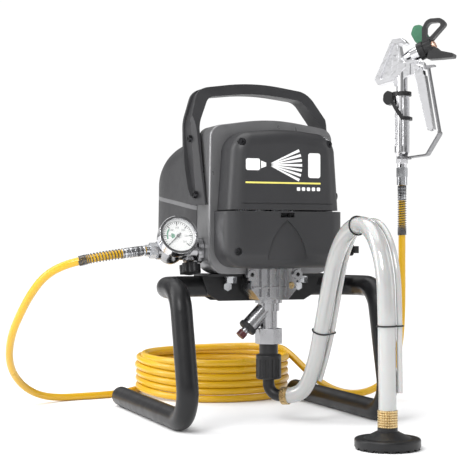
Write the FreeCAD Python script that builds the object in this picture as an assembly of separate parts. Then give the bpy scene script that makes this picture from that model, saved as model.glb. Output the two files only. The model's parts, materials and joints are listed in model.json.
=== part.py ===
import FreeCAD, Part
import math
import os

# Airless paint sprayer on a bent-tube stand, with its suction set, pressure hose and spray gun.
# Millimetres. The layout frame has its origin on the floor under the piston pump's axis:
# +X to the operator's right, +Y towards the motor's rear, +Z up.
# Everything is written out shifted so that the bottom centre of the machine is the origin.

V = FreeCAD.Vector
X_AXIS = V(1, 0, 0)
Y_AXIS = V(0, 1, 0)
Z_AXIS = V(0, 0, 1)

# ---------------------------------------------------------------- driving dimensions
TUBE_R = 13.0             # stand tube, outer radius
TUBE_WALL = 2.0
STAND_HALF = 130.0        # half of the track between the two feet
FOOT_REAR = 210.0
FOOT_FRONT = -78.0
CROSS_Y = 38.0            # cross tube
CROSS_Z = 168.0
LEG_TOP_Y = -40.0
BEND_R = 35.0

PLATE_TOP = 184.0         # saddle plate that carries the casting
PLATE_THICK = 3.0
PLATE_HALF = 80.0

CASE_FRONT = -13.0        # die-cast gear case
CASE_REAR = 33.0
CASE_HALF = 84.0
CASE_WALL = 5.0
CASE_TOP = 377.0

COVER_FRONT = -60.0       # black front covers
COVER_WALL = 3.0
COVER_HALF = 73.0
LOWER_HALF = 77.0
COVER_TOP = 361.0
SEAM_Z = 262.0
SEAM_GAP = 1.6
COVER_BOTTOM = 192.0
COVER_CORNER = 18.0

MOTOR_REAR = 240.0        # rear motor cover
MOTOR_WALL = 3.0
SWITCH_Z = 301.5
BELT_Z = 266.0            # light trim belt between the two rear covers, at the casting
BELT_RISE = 0.109         # its rise towards the rear, mm per mm
BELT_HALF = 2.6
CROWN_HALF = 58.0         # half-width of the light crown on top of the rear cover

HANDLE_SCREWS = ((27, 352), (8, 282))    # places of the handle's screws, Y and Z

CRANK_Z = 262.0           # gear train, all axes along Y
CRANK_THROW = 8.0
CRANK_R = 40.0
IDLER = (38.0, 294.0)
IDLER_BIG_R = 30.0
IDLER_SMALL_R = 9.72
GEAR_FRONT = 8.6          # front face of the second stage, behind the piston rod
GEAR_BACK = 13.5
MOTOR_Z = 294.0
PINION_R = 8.0
GEAR_GAP = 0.25           # clearance between tooth tips and the mating pitch cylinder

ROD_R = 8.0               # piston rod
CYLINDER_R = 12.0
ROD_SEAL_R = 11.5         # seal where the rod enters the case

GAUGE = V(-117.0, 5.0, 231.0)
GAUGE_R = 24.5
GAUGE_TILT = 20.0         # degrees, dial turned up towards the operator
GAUGE_BACK = -14.0        # back of the gauge's case, behind its dial
SEAT_Y = 17.0             # manifold's seat on the casing
KNOB_TOP = V(-98.0, 18.0, 199.5)
HOSE_R = 5.0              # high-pressure hose
SUCTION_R = 9.8           # suction hose
RETURN_R = 3.2            # return tube
OUTLET = V(-137.0, 30.0, 213.0)
GUARD_END = V(-235.0, 30.0, 202.0)

COIL = V(34.0, 300.0, 0.0)
COIL_R = 110.0            # middle of the coiled hose
COIL_TURNS = 6

GUN = V(272.0, 154.0, 0.0)
GUN_TURN = -46.0          # degrees about the vertical, direction in which the gun points
GUN_BASE_Z = 325.0
STRAINER = V(39.0, -241.0, 0.0)
STRAINER_R = 36.0

# ---------------------------------------------------------------- small helpers


def box(x0, x1, y0, y1, z0, z1):
    return Part.makeBox(x1 - x0, y1 - y0, z1 - z0, V(x0, y0, z0))


def rod(start, end, radius):
    return Part.makeCylinder(radius, (end - start).Length, start, end - start)


def pipe_piece(start, end, r_out, r_in):
    return rod(start, end, r_out).cut(rod(start, end, r_in))


def fuse(shapes):
    result = shapes[0]
    for shape in shapes[1:]:
        result = result.fuse(shape)
    return result.removeSplitter()


def group(shapes):
    return Part.makeCompound(shapes)


def hexagon(start, end, across_flats):
    """Hexagonal bar from start to end."""
    axis = (end - start).normalize()
    side = axis.cross(X_AXIS if abs(axis.x) < 0.9 else Y_AXIS).normalize()
    other = axis.cross(side)
    radius = across_flats / math.sqrt(3)
    points = []
    for i in range(7):
        a = math.radians(60 * i)
        points.append(start + side * (radius * math.cos(a)) + other * (radius * math.sin(a)))
    return Part.Face(Part.makePolygon(points)).extrude(end - start)


def corner_arc(before, corner, after, radius):
    """Tangent arc of the given radius at a corner: its two ends and its middle point."""
    d1 = (corner - before).normalize()
    d2 = (after - corner).normalize()
    half = d1.getAngle(d2) / 2
    trim = radius * math.tan(half)
    inward = (d2 - d1).normalize()
    first = corner - d1 * trim
    last = corner + d2 * trim
    middle = corner + inward * (radius / math.cos(half) - radius)
    return first, middle, last


def closed_outline(points, radii):
    """Closed wire through the points, each corner rounded with its own radius (0 keeps it sharp)."""
    count = len(points)
    arcs = []
    for i, point in enumerate(points):
        if radii[i] > 0:
            arcs.append(corner_arc(points[i - 1], point, points[(i + 1) % count], radii[i]))
        else:
            arcs.append((point, None, point))
    edges = []
    for i in range(count):
        first, middle, last = arcs[i]
        if middle is not None:
            edges.append(Part.Arc(first, middle, last).toShape())
        edges.append(Part.LineSegment(last, arcs[(i + 1) % count][0]).toShape())
    return Part.Wire(edges)


def route_wire(points, radii):
    """Open wire of straight runs joined by tangent arcs."""
    edges = []
    start = points[0]
    for i in range(1, len(points) - 1):
        first, middle, last = corner_arc(points[i - 1], points[i], points[i + 1], radii[i - 1])
        edges.append(Part.LineSegment(start, first).toShape())
        edges.append(Part.Arc(first, middle, last).toShape())
        start = last
    edges.append(Part.LineSegment(start, points[-1]).toShape())
    return Part.Wire(edges)


def sweep(wire, radius, start, direction):
    profile = Part.Wire(Part.makeCircle(radius, start, direction))
    return wire.makePipeShell([profile], True, False)


def bent_rod(points, radii, radius):
    wire = route_wire(points, radii)
    return sweep(wire, radius, points[0], points[1] - points[0])


def cord_tube(name, points, radius):
    """Free hose: arcs as large as the runs allow; prints the radii and compares the volume."""
    radii = []
    for i in range(1, len(points) - 1):
        d1 = points[i] - points[i - 1]
        d2 = points[i + 1] - points[i]
        shorter = min(d1.Length, d2.Length)
        radii.append(0.45 * shorter / math.tan(d1.getAngle(d2) / 2))
    wire = route_wire(points, radii)
    solid = sweep(wire, radius, points[0], points[1] - points[0])
    expected = math.pi * radius * radius * wire.Length
    listed = " ".join("%.0f" % r for r in radii)
    print("%s length %.0f volume ratio %.4f radii %s" % (name, wire.Length, solid.Volume / expected, listed))
    return solid


def arch(half, bottom, shoulder_half, shoulder_z, top, r_bottom, r_shoulder, y, r_apex=240.0):
    """Wire in the plane at y: flat bottom, nearly upright sides and a gently arched top."""
    points = [
        V(-half, y, bottom), V(half, y, bottom), V(shoulder_half, y, shoulder_z),
        V(0, y, top), V(-shoulder_half, y, shoulder_z),
    ]
    return closed_outline(points, [r_bottom, r_bottom, r_shoulder, r_apex, r_shoulder])


def slab(wire, depth):
    """Prism from a wire in an XZ plane, grown along +Y."""
    return Part.Face(wire).extrude(V(0, depth, 0))


def round_front(solid, y, radius):
    """Rounds the edges that lie in the plane at y."""
    edges = []
    for edge in solid.Edges:
        bounds = edge.BoundBox
        if abs(bounds.YMin - y) < 0.01 and abs(bounds.YMax - y) < 0.01:
            edges.append(edge)
    return solid.makeFillet(radius, edges)


def gear(centre, y0, y1, pitch_r, teeth, bore_r):
    """Spur gear about a Y axis. Tooth tips stop just inside the pitch circle, so no mesh overlaps."""
    tip = pitch_r - GEAR_GAP / 2
    root = pitch_r - 2.2
    points = []
    for i in range(teeth):
        for part, radius in ((0.0, root), (0.30, root), (0.42, tip), (0.78, tip), (0.90, root)):
            a = 2 * math.pi * (i + part) / teeth
            points.append(V(centre[0] + radius * math.cos(a), y0, centre[1] + radius * math.sin(a)))
    points.append(points[0])
    blank = Part.Face(Part.makePolygon(points)).extrude(V(0, y1 - y0, 0))
    return blank.cut(rod(V(centre[0], y0, centre[1]), V(centre[0], y1, centre[1]), bore_r))


def bearing(centre, y0, y1, r_out, r_in):
    return pipe_piece(V(centre[0], y0, centre[1]), V(centre[0], y1, centre[1]), r_out, r_in)


# ---------------------------------------------------------------- stand


def frame_tube():
    """One bent tube: foot, leg, arm, cross tube and back again. The cross tube is drilled."""
    left = [
        V(-STAND_HALF, FOOT_REAR, TUBE_R),
        V(-STAND_HALF, FOOT_FRONT, TUBE_R),
        V(-STAND_HALF, LEG_TOP_Y, CROSS_Z),
        V(-STAND_HALF, CROSS_Y, CROSS_Z),
    ]
    right = [V(-p.x, p.y, p.z) for p in reversed(left)]
    points = left + right
    radii = [BEND_R] * 6
    tube = bent_rod(points, radii, TUBE_R).cut(bent_rod(points, radii, TUBE_R - TUBE_WALL))
    for x in (-48, 48):
        tube = tube.cut(rod(V(x, 0, CROSS_Z), V(x, 90, CROSS_Z), 3.2))
    return tube


def foot_caps():
    caps = []
    for side in (-1, 1):
        x = side * STAND_HALF
        rear = V(x, FOOT_REAR, TUBE_R)
        cap = rod(rear, rear + V(0, 6, 0), TUBE_R)
        cap = cap.makeFillet(3.0, [e for e in cap.Edges if e.BoundBox.YMin > FOOT_REAR + 5.9])
        plug = rod(rear - V(0, 14, 0), rear, TUBE_R - TUBE_WALL - 0.1)
        caps.append(fuse([cap, plug]))
    return group(caps)


def saddle():
    """Inverted channel over the cross tube, with slanted lower corners and a front lip."""
    z0 = PLATE_TOP - PLATE_THICK
    skirt_z = 150.0
    front = CROSS_Y - TUBE_R - PLATE_THICK
    rear = CROSS_Y + TUBE_R
    top = box(-PLATE_HALF, PLATE_HALF, -4, rear + PLATE_THICK, z0, PLATE_TOP)
    top = top.cut(box(-37, 37, -5, front - 0.5, z0 - 1, PLATE_TOP + 1))
    skirts = []
    for y in (front, rear):
        points = [
            V(-PLATE_HALF, y, z0), V(-PLATE_HALF + 8, y, skirt_z + 8), V(-PLATE_HALF + 22, y, skirt_z),
            V(PLATE_HALF - 22, y, skirt_z), V(PLATE_HALF - 8, y, skirt_z + 8), V(PLATE_HALF, y, z0),
        ]
        face = Part.Face(Part.makePolygon(points + [points[0]]))
        skirts.append(face.extrude(V(0, PLATE_THICK, 0)))
    body = fuse([top] + skirts)
    for x in (-48, 48):
        body = body.cut(rod(V(x, 6, z0 - 1), V(x, 6, PLATE_TOP + 1), 4.2))
        body = body.cut(rod(V(x, front - 5, CROSS_Z), V(x, rear + 9, CROSS_Z), 3.2))
    return body


def saddle_bolts():
    """Two upright bolts into the casting and two cross bolts that clamp the cross tube."""
    z0 = PLATE_TOP - PLATE_THICK
    front = CROSS_Y - TUBE_R - PLATE_THICK
    rear = CROSS_Y + TUBE_R + PLATE_THICK
    bolts = []
    for x in (-48, 48):
        head = hexagon(V(x, 6, z0 - 8.4), V(x, 6, z0 - 1.6), 13)
        washer = rod(V(x, 6, z0 - 1.6), V(x, 6, z0), 8.5)
        shank = rod(V(x, 6, z0), V(x, 6, PLATE_TOP + 14), 4.0)
        bolts.append(fuse([head, washer, shank]))
        head = hexagon(V(x, front - 5.5, CROSS_Z), V(x, front, CROSS_Z), 10)
        nut = hexagon(V(x, rear, CROSS_Z), V(x, rear + 5, CROSS_Z), 10)
        shank = rod(V(x, front, CROSS_Z), V(x, rear + 8, CROSS_Z), 3.0)
        bolts.append(fuse([head, shank, nut]))
    return group(bolts)


# ---------------------------------------------------------------- gear case and covers


def case_outline(inset, y):
    return arch(CASE_HALF - inset, PLATE_TOP + inset, CASE_HALF - 3 - inset, 365 - inset,
                CASE_TOP - inset, 22, 15, y)


def gear_case():
    """Die-cast case: open to the front covers, with a bearing wall towards the motor."""
    outer = round_front(slab(case_outline(0, CASE_FRONT), CASE_REAR - CASE_FRONT), CASE_FRONT, 6)
    inner = slab(case_outline(CASE_WALL, CASE_FRONT - 1), CASE_REAR - 6 - CASE_FRONT + 1)
    body = outer.cut(inner)
    rim = slab(case_outline(1.0, CASE_FRONT), 6).cut(slab(arch(COVER_HALF - 8, PLATE_TOP + 14, COVER_HALF - 13,
                                                             346, 352, 20, 18, CASE_FRONT - 1), 9))
    body = body.fuse(rim)
    for x in (-48, 48):
        boss = box(x - 9, x + 9, -6, 18, PLATE_TOP, PLATE_TOP + 18)
        body = body.fuse(boss)
        body = body.cut(rod(V(x, 6, PLATE_TOP - 1), V(x, 6, PLATE_TOP + 15), 4.0))
    for centre, radius in (((0, CRANK_Z), 13.0), (IDLER, 8.0), ((0, MOTOR_Z), 11.0)):
        body = body.cut(rod(V(centre[0], 20, centre[1]), V(centre[0], 40, centre[1]), radius))
    body = body.cut(rod(V(0, 0, PLATE_TOP - 2), V(0, 0, PLATE_TOP + 20), ROD_SEAL_R))
    manifold_seat = rod(V(-CASE_HALF - 5, SEAT_Y, 213), V(-CASE_HALF + 12, SEAT_Y, 213), 9.0)
    valve_seat = rod(V(CASE_HALF - 12, -2, 214), V(CASE_HALF + 5, -2, 214), 8.0)
    return body.cut(manifold_seat).cut(valve_seat).removeSplitter()


def cover_block(half, shoulder_half, bottom, shoulder_z, top, inset):
    """Rounded block that the front covers are cut from; inset gives the inner skin."""
    front = COVER_FRONT + inset
    wire = arch(half - inset, bottom + inset, shoulder_half - inset, shoulder_z - inset, top - inset,
                24 - inset, 26 - inset, front)
    return round_front(slab(wire, CASE_FRONT - front + inset), front, COVER_CORNER - inset)


def upper_shell(inset):
    return cover_block(COVER_HALF + 7, COVER_HALF - 6.5, COVER_BOTTOM - 30, 354, COVER_TOP, inset)


def lower_shell(inset):
    return cover_block(LOWER_HALF, LOWER_HALF, COVER_BOTTOM, 354, COVER_TOP, inset)


def front_cover_upper():
    shell = upper_shell(0).cut(upper_shell(COVER_WALL))
    shell = shell.common(box(-120, 120, -80, CASE_FRONT, SEAM_Z, 400))
    rim = slab(arch(COVER_HALF - 10, 240, COVER_HALF - 15, 345, 351, 8, 18, COVER_FRONT - 1), 1.8)
    core = slab(arch(COVER_HALF - 11.2, 241.2, COVER_HALF - 16.2, 343.8, 349.8, 7, 17, COVER_FRONT - 2), 4)
    groove = rim.cut(core).common(box(-120, 120, -80, 0, SEAM_Z + 8, 400))
    foot = box(-COVER_HALF + 11, COVER_HALF - 11, COVER_FRONT - 1, COVER_FRONT + 0.8, SEAM_Z + 7, SEAM_Z + 8.2)
    shell = shell.cut(groove).cut(foot)
    for x in (-57, 57):
        shell = shell.fuse(rod(V(x, COVER_FRONT + 2, 343), V(x, CASE_FRONT, 343), 6.5).common(upper_shell(0)))
        shell = shell.cut(rod(V(x, COVER_FRONT - 1, 343), V(x, COVER_FRONT + 9, 343), 4.6))
        shell = shell.cut(rod(V(x, COVER_FRONT + 8, 343), V(x, CASE_FRONT + 1, 343), 2.6))
    return shell.removeSplitter()


def front_cover_lower():
    shell = lower_shell(0).cut(lower_shell(COVER_WALL))
    shell = shell.common(box(-120, 120, -80, CASE_FRONT, 100, SEAM_Z - SEAM_GAP))
    slot = box(-9, 9, COVER_FRONT - 1, COVER_FRONT + 6, 253, 258.5)
    shell = shell.cut(slot)
    y = COVER_FRONT
    left, right, apex = V(-26, y, 197), V(26, y, 197), V(0, y, 250)
    edges = [
        Part.LineSegment(left, right).toShape(),
        Part.Arc(right, V(16, y, 232), apex).toShape(),
        Part.Arc(apex, V(-16, y, 232), left).toShape(),
    ]
    pocket = Part.Face(Part.Wire(edges)).extrude(V(0, 2.3, 0)).translated(V(0, -0.4, 0))
    shell = shell.cut(pocket)
    for x in (-63, 63):
        shell = shell.fuse(rod(V(x, COVER_FRONT + 2, 212), V(x, CASE_FRONT, 212), 6.5).common(lower_shell(0)))
        shell = shell.cut(rod(V(x, COVER_FRONT - 1, 212), V(x, COVER_FRONT + 9, 212), 4.6))
        shell = shell.cut(rod(V(x, COVER_FRONT + 8, 212), V(x, CASE_FRONT + 1, 212), 2.6))
    return shell.removeSplitter()


def case_screws():
    """Socket-head screws: four sunk into the front covers, four through the handle's arms."""
    screws = []
    for x, z in ((-57, 343), (57, 343), (-63, 212), (63, 212)):
        y = COVER_FRONT + 5
        head = rod(V(x, y, z), V(x, y + 4, z), 4.3)
        head = head.cut(hexagon(V(x, y - 1, z), V(x, y + 2.2, z), 4))
        shank = rod(V(x, y + 4, z), V(x, CASE_FRONT, z), 2.4)
        screws.append(fuse([head, shank]))
    for side in (-1, 1):
        for y, z in HANDLE_SCREWS:
            head = rod(V(side * 93.4, y, z), V(side * 97.0, y, z), 4.6)
            shank = rod(V(side * 84.2, y, z), V(side * 93.4, y, z), 2.5)
            head = head.cut(hexagon(V(side * 95.0, y, z), V(side * 98.0, y, z), 4))
            screws.append(fuse([head, shank]))
    return group(screws)


def motor_outline(inset, section):
    y, half, bottom, shoulder, top, r_bottom, r_shoulder = section
    return arch(half - inset, bottom + inset, half - 2 - inset, shoulder - inset, top - inset,
                r_bottom - inset, r_shoulder - inset, y, 2 * half)


MOTOR_SECTIONS = [
    (CASE_REAR, 84.0, 199.0, 358.0, 369.0, 30.0, 26.0),
    (90.0, 85.0, 199.0, 356.0, 367.0, 32.0, 30.0),
    (150.0, 84.5, 200.0, 350.0, 362.0, 34.0, 34.0),
    (195.0, 82.0, 203.0, 338.0, 351.0, 36.0, 36.0),
    (222.0, 73.0, 212.0, 320.0, 334.0, 34.0, 34.0),
    (MOTOR_REAR, 50.0, 232.0, 293.0, 304.0, 26.0, 26.0),
]


def motor_body(inset):
    wires = []
    for section in MOTOR_SECTIONS:
        moved = list(section)
        if section[0] == MOTOR_REAR:
            moved[0] = section[0] - inset
        wires.append(motor_outline(inset, moved))
    return Part.makeLoft(wires, True, False)


def below_belt(offset):
    """Half space under the sloping belt line, moved up by offset."""
    z0 = BELT_Z + offset - BELT_RISE * CASE_REAR
    points = [
        V(-150, 0, z0), V(-150, 300, z0 + 300 * BELT_RISE), V(-150, 300, 0), V(-150, 0, 0),
    ]
    return Part.Face(Part.makePolygon(points + [points[0]])).extrude(V(300, 0, 0))


def rear_covers():
    """Rear shell cut into its lower pan, trim belt, upper shroud and crown."""
    shell = motor_body(0).cut(motor_body(MOTOR_WALL))
    under = below_belt(-BELT_HALF)
    upto = below_belt(BELT_HALF)
    crown_zone = box(-CROWN_HALF, CROWN_HALF, 0, 300, 315, 420)
    pan = shell.common(under)
    belt = shell.common(upto).cut(under)
    upper = shell.cut(upto)
    crown = upper.common(crown_zone)
    shroud = upper.cut(crown_zone)
    gland_hole = rod(V(-26, 200, 248), V(-26, 260, 248), 8.0)
    return pan.cut(gland_hole), belt, shroud.cut(switch_hole()), crown


def switch_hole():
    return box(-11, 11, MOTOR_REAR - 30, MOTOR_REAR + 5, 294, 309)


# ---------------------------------------------------------------- carrying handle


def handle_ring(inset):
    """Front view of the handle: an inverted U, wide at the feet."""
    outer = closed_outline(
        [V(-100, 0, 269), V(100, 0, 269), V(99, 0, 325), V(94, 0, 375), V(76, 0, 418), V(0, 0, 429),
         V(-76, 0, 418), V(-94, 0, 375), V(-99, 0, 325)], [3, 3, 200, 60, 24, 260, 24, 60, 200])
    slab_outer = slab(outer, 130)
    inner = closed_outline(
        [V(-84.3 - inset, -10, 200), V(84.3 + inset, -10, 200), V(84.3 + inset, -10, 370),
         V(64 + inset, -10, 407 + inset), V(0, -10, 415 + inset), V(-64 - inset, -10, 407 + inset),
         V(-84.3 - inset, -10, 370)], [0, 0, 40, 16, 260, 16, 40])
    return slab_outer.cut(slab(inner, 160)).translated(V(0, -20, 0))


def handle_side(inset):
    """Side view of the handle: it sweeps back as it rises."""
    points = [
        V(-130, -6 + inset, 268), V(-130, 9 + inset, 322), V(-130, 21 + inset, 370), V(-130, 48 + inset, 414),
        V(-130, 52 + inset, 434), V(-130, 77 - inset, 434), V(-130, 74 - inset, 414), V(-130, 56 - inset, 368),
        V(-130, 38 - inset, 315), V(-130, 14 - inset, 268),
    ]
    wire = closed_outline(points, [0, 140, 80, 30, 0, 0, 30, 120, 140, 0])
    return Part.Face(wire).extrude(V(260, 0, 0))


def carrying_handle():
    body = handle_ring(0).common(handle_side(0))
    for side in (-1, 1):
        bevel = [V(side * 86, -10, 250), V(side * 86, -40, 250), V(side * 110, -40, 250), V(side * 110, 26, 250)]
        wedge = Part.Face(Part.makePolygon(bevel + [bevel[0]])).extrude(V(0, 46, 200))
        body = body.cut(wedge)
    channel = handle_ring(9).common(handle_side(5.5)).common(box(-130, 130, -50, 120, 280, 440))
    body = body.cut(channel)
    for side in (-1, 1):
        for y, z in HANDLE_SCREWS:
            body = body.cut(rod(V(side * 60, y, z), V(side * 120, y, z), 2.7))
    return body


# ---------------------------------------------------------------- drive train


def motor_parts():
    axis = (0, MOTOR_Z)
    shaft = rod(V(0, 14, MOTOR_Z), V(0, 214, MOTOR_Z), 4.0)
    core = rod(V(0, 78, MOTOR_Z), V(0, 148, MOTOR_Z), 27.0)
    commutator = rod(V(0, 164, MOTOR_Z), V(0, 182, MOTOR_Z), 13.0)
    windings = rod(V(0, 70, MOTOR_Z), V(0, 156, MOTOR_Z), 20.0)
    pinion = gear(axis, 15, 23, PINION_R, 16, 3.0)
    armature = fuse([shaft, core, commutator, windings, pinion])
    for i in range(12):
        slot = box(-1.2, 1.2, 70, 156, 21.5, 30).rotated(V(0, 0, 0), Y_AXIS, 30 * i)
        armature = armature.cut(slot.translated(V(0, 0, MOTOR_Z)))
    field = rod(V(0, 82, MOTOR_Z), V(0, 144, MOTOR_Z), 44.0)
    field = field.cut(rod(V(0, 80, MOTOR_Z), V(0, 150, MOTOR_Z), 28.0))
    flats = box(-60, 60, 80, 150, MOTOR_Z - 60, MOTOR_Z + 60).cut(
        box(-38, 38, 70, 160, MOTOR_Z - 60, MOTOR_Z + 60))
    field = field.cut(flats)
    hub = rod(V(0, 48, MOTOR_Z), V(0, 62, MOTOR_Z), 9.0).cut(rod(V(0, 47, MOTOR_Z), V(0, 63, MOTOR_Z), 4.0))
    plate = bearing(axis, 58, 60, 38, 8.5)
    blades = []
    for i in range(10):
        blade = box(8.5, 37, 48, 58.2, -0.9, 0.9).rotated(V(0, 0, 0), Y_AXIS, 36 * i)
        blades.append(blade.translated(V(0, 0, MOTOR_Z)))
    fan = fuse([hub, plate] + blades)
    spider = box(-44, 44, 192, 198, MOTOR_Z - 10, MOTOR_Z + 10)
    spider = spider.fuse(rod(V(0, 192, MOTOR_Z), V(0, 208, MOTOR_Z), 14))
    spider = spider.cut(rod(V(0, 190, MOTOR_Z), V(0, 210, MOTOR_Z), 11.0))
    for side in (-1, 1):
        arm = box(side * 38 - 5, side * 38 + 5, 144, 193, MOTOR_Z - 10, MOTOR_Z + 10)
        spider = spider.fuse(arm.cut(rod(V(0, 130, MOTOR_Z), V(0, 200, MOTOR_Z), 32)))
    rear_bearing = bearing(axis, 198, 206, 11.0, 4.05)
    front_bearing = bearing(axis, 27, 33, 11.0, 4.05)
    brushes = []
    for side in (-1, 1):
        brushes.append(box(*sorted((side * 13.4, side * 31)), 168, 178, MOTOR_Z - 4, MOTOR_Z + 4))
    return {
        "motor_armature": armature,
        "motor_field": field,
        "motor_fan": fan,
        "motor_end_bracket": spider.removeSplitter(),
        "shaft_bearings": group([
            rear_bearing, front_bearing,
            bearing((0, CRANK_Z), 23.5, 33, 13.0, 6.05),
            bearing(IDLER, 26, 33, 8.0, 4.05),
        ]),
        "motor_brushes": group(brushes),
    }


def gear_train():
    crank_axis = (0, CRANK_Z)
    crank = gear(crank_axis, GEAR_FRONT, GEAR_BACK, CRANK_R, 80, 2.0)
    crank = crank.fuse(rod(V(0, GEAR_FRONT, CRANK_Z), V(0, CASE_REAR, CRANK_Z), 6.0))
    crank = crank.fuse(rod(V(CRANK_THROW, -6, CRANK_Z), V(CRANK_THROW, GEAR_FRONT, CRANK_Z), 5.0))
    big = gear(IDLER, 15, 23, IDLER_BIG_R, 60, 3.0)
    small = gear(IDLER, GEAR_FRONT, GEAR_BACK, IDLER_SMALL_R, 19, 3.0)
    stem = rod(V(IDLER[0], 4, IDLER[1]), V(IDLER[0], 33, IDLER[1]), 4.0)
    web = rod(V(IDLER[0], GEAR_BACK, IDLER[1]), V(IDLER[0], 15, IDLER[1]), 7.0)
    idler = fuse([big, small, web, stem])
    return {
        "crank_gear": crank.removeSplitter(),
        "idler_gear": idler,
    }


def piston_parts():
    """Piston rod with its slotted crosshead. The window clears the crank pin's whole circle."""
    window = CRANK_THROW + 5.0 + CRANK_THROW + 1.0
    crosshead = box(-20, 20, -6, 6, CRANK_Z - window - 8, CRANK_Z + window + 8)
    crosshead = crosshead.cut(box(-14.5, 14.5, -7, 7, CRANK_Z - window, CRANK_Z + window))
    stem = rod(V(0, 0, 164), V(0, 0, CRANK_Z - window - 7), ROD_R)
    head = rod(V(0, 0, 156), V(0, 0, 164), CYLINDER_R - 0.05)
    piston = fuse([crosshead, stem, head])
    piston = piston.cut(rod(V(0, 0, 155), V(0, 0, 172), 2.5))
    piston = piston.cut(rod(V(0, 0, 158), V(0, 0, 170), 4.6))
    piston = piston.cut(rod(V(-15, 0, 167.5), V(15, 0, 167.5), 2.0))
    ball = Part.makeSphere(4.2, V(0, 0, 158 + 3.5))
    packing = [pipe_piece(V(0, 0, 178), V(0, 0, 183), CYLINDER_R, ROD_R + 0.05)]
    packing.append(pipe_piece(V(0, 0, 173.5), V(0, 0, 177.5), CYLINDER_R, ROD_R + 0.05))
    packing.append(pipe_piece(V(0, 0, PLATE_TOP + 0.2), V(0, 0, PLATE_TOP + 14), ROD_SEAL_R, ROD_R + 0.05))
    return {
        "piston_rod": piston,
        "outlet_ball": ball,
        "rod_packings": group(packing),
    }


# ---------------------------------------------------------------- pump


def pump_block():
    """Ribbed fluid section with two lifting eyes, hung under the gear case."""
    body = box(-30, 30, -18, 17, 152, PLATE_TOP - 0.2)
    parts = [body, rod(V(0, 0, 147.9), V(0, 0, 160), 17.0)]
    parts.append(box(-34, 34, -18, -14, 176, 191))
    for x in (-30.5, 30.5):
        parts.append(rod(V(x, -22, 183.5), V(x, -14, 183.5), 6.0))
        parts.append(box(x - 5, x + 5, -20, -14, 183, 191))
    for x in (-17, -6, 6, 17):
        parts.append(box(x - 1.4, x + 1.4, -22, -17, 156, 190))
    parts.append(box(-28, 28, -21, -17, 166, 168.5))
    block = fuse(parts)
    for x in (-30.5, 30.5):
        block = block.cut(rod(V(x, -30, 183.5), V(x, 0, 183.5), 2.4))
    block = block.cut(rod(V(0, 0, 140), V(0, 0, 200), CYLINDER_R))
    chamfer = []
    for side in (-1, 1):
        points = [V(side * 31, -30, 151), V(side * 31, -30, 166), V(side * 18, -30, 151)]
        face = Part.Face(Part.makePolygon(points + [points[0]]))
        chamfer.append(face.extrude(V(0, 60, 0)))
    for piece in chamfer:
        block = block.cut(piece)
    return block.removeSplitter()


PORT_TOP = V(-6, 0, 139.6)
PORT_AXIS = V(-0.7071, 0, -0.7071)


def inlet_housing():
    body = rod(V(0, 0, 116), V(0, 0, 147.9), 11.0)
    nut = hexagon(V(0, 0, 97), V(0, 0, 116), 29.4)
    collar = rod(V(0, 0, 138), V(0, 0, 147.9), 13.5)
    port = rod(PORT_TOP, PORT_TOP + PORT_AXIS * 28, 10.2)
    housing = fuse([body, nut, collar, port])
    housing = housing.cut(rod(V(0, 0, 96), V(0, 0, 149), 6.5))
    housing = housing.cut(rod(PORT_TOP, PORT_TOP + PORT_AXIS * 29, 4.3))
    seat = pipe_piece(V(0, 0, 97), V(0, 0, 106), 6.6, 3.5)
    return fuse([housing, seat])


def inlet_parts():
    ball = Part.makeSphere(5.0, V(0, 0, 106 + 3.7))
    boot = pipe_piece(PORT_TOP + PORT_AXIS * 28, PORT_TOP + PORT_AXIS * 34, 11.6, 4.4)
    boot = boot.makeFillet(1.5, [e for e in boot.Edges if abs(e.Length - 2 * math.pi * 11.6) < 0.1])
    stem = rod(PORT_TOP + PORT_AXIS * 10, PORT_TOP + PORT_AXIS * 42, 4.2)
    flange = rod(PORT_TOP + PORT_AXIS * 36.5, PORT_TOP + PORT_AXIS * 38, 5.0)
    button = pipe_piece(PORT_TOP + PORT_AXIS * 39, PORT_TOP + PORT_AXIS * 46, 5.8, 4.2)
    cap = rod(PORT_TOP + PORT_AXIS * 42, PORT_TOP + PORT_AXIS * 46, 4.2)
    return {
        "inlet_ball": ball,
        "pusher_boot": boot,
        "pusher_stem": fuse([stem, flange]),
        "pusher_button": fuse([button, cap]),
    }


def suction_coupling():
    neck = rod(V(0, 0, 84), V(0, 0, 97), 11.7)
    body = rod(V(0, 0, 53), V(0, 0, 84), 15.8)
    body = body.makeFillet(2.5, body.Edges[:1] + body.Edges[2:3])
    coupling = fuse([neck, body])
    for i in range(12):
        flute = rod(V(17.2, 0, 56), V(17.2, 0, 78), 2.6).rotated(V(0, 0, 0), Z_AXIS, 30 * i)
        coupling = coupling.cut(flute)
    coupling = coupling.cut(rod(V(0, 0, 50), V(0, 0, 100), 6.0))
    points = [V(0, 0, 53), V(0, 0, 33), V(14, -16, 33)]
    elbow = bent_rod(points, [15.0], 7.2).cut(bent_rod(points, [15.0], 5.2))
    return fuse([coupling, elbow])


# ---------------------------------------------------------------- manifold, gauge and valves


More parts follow.
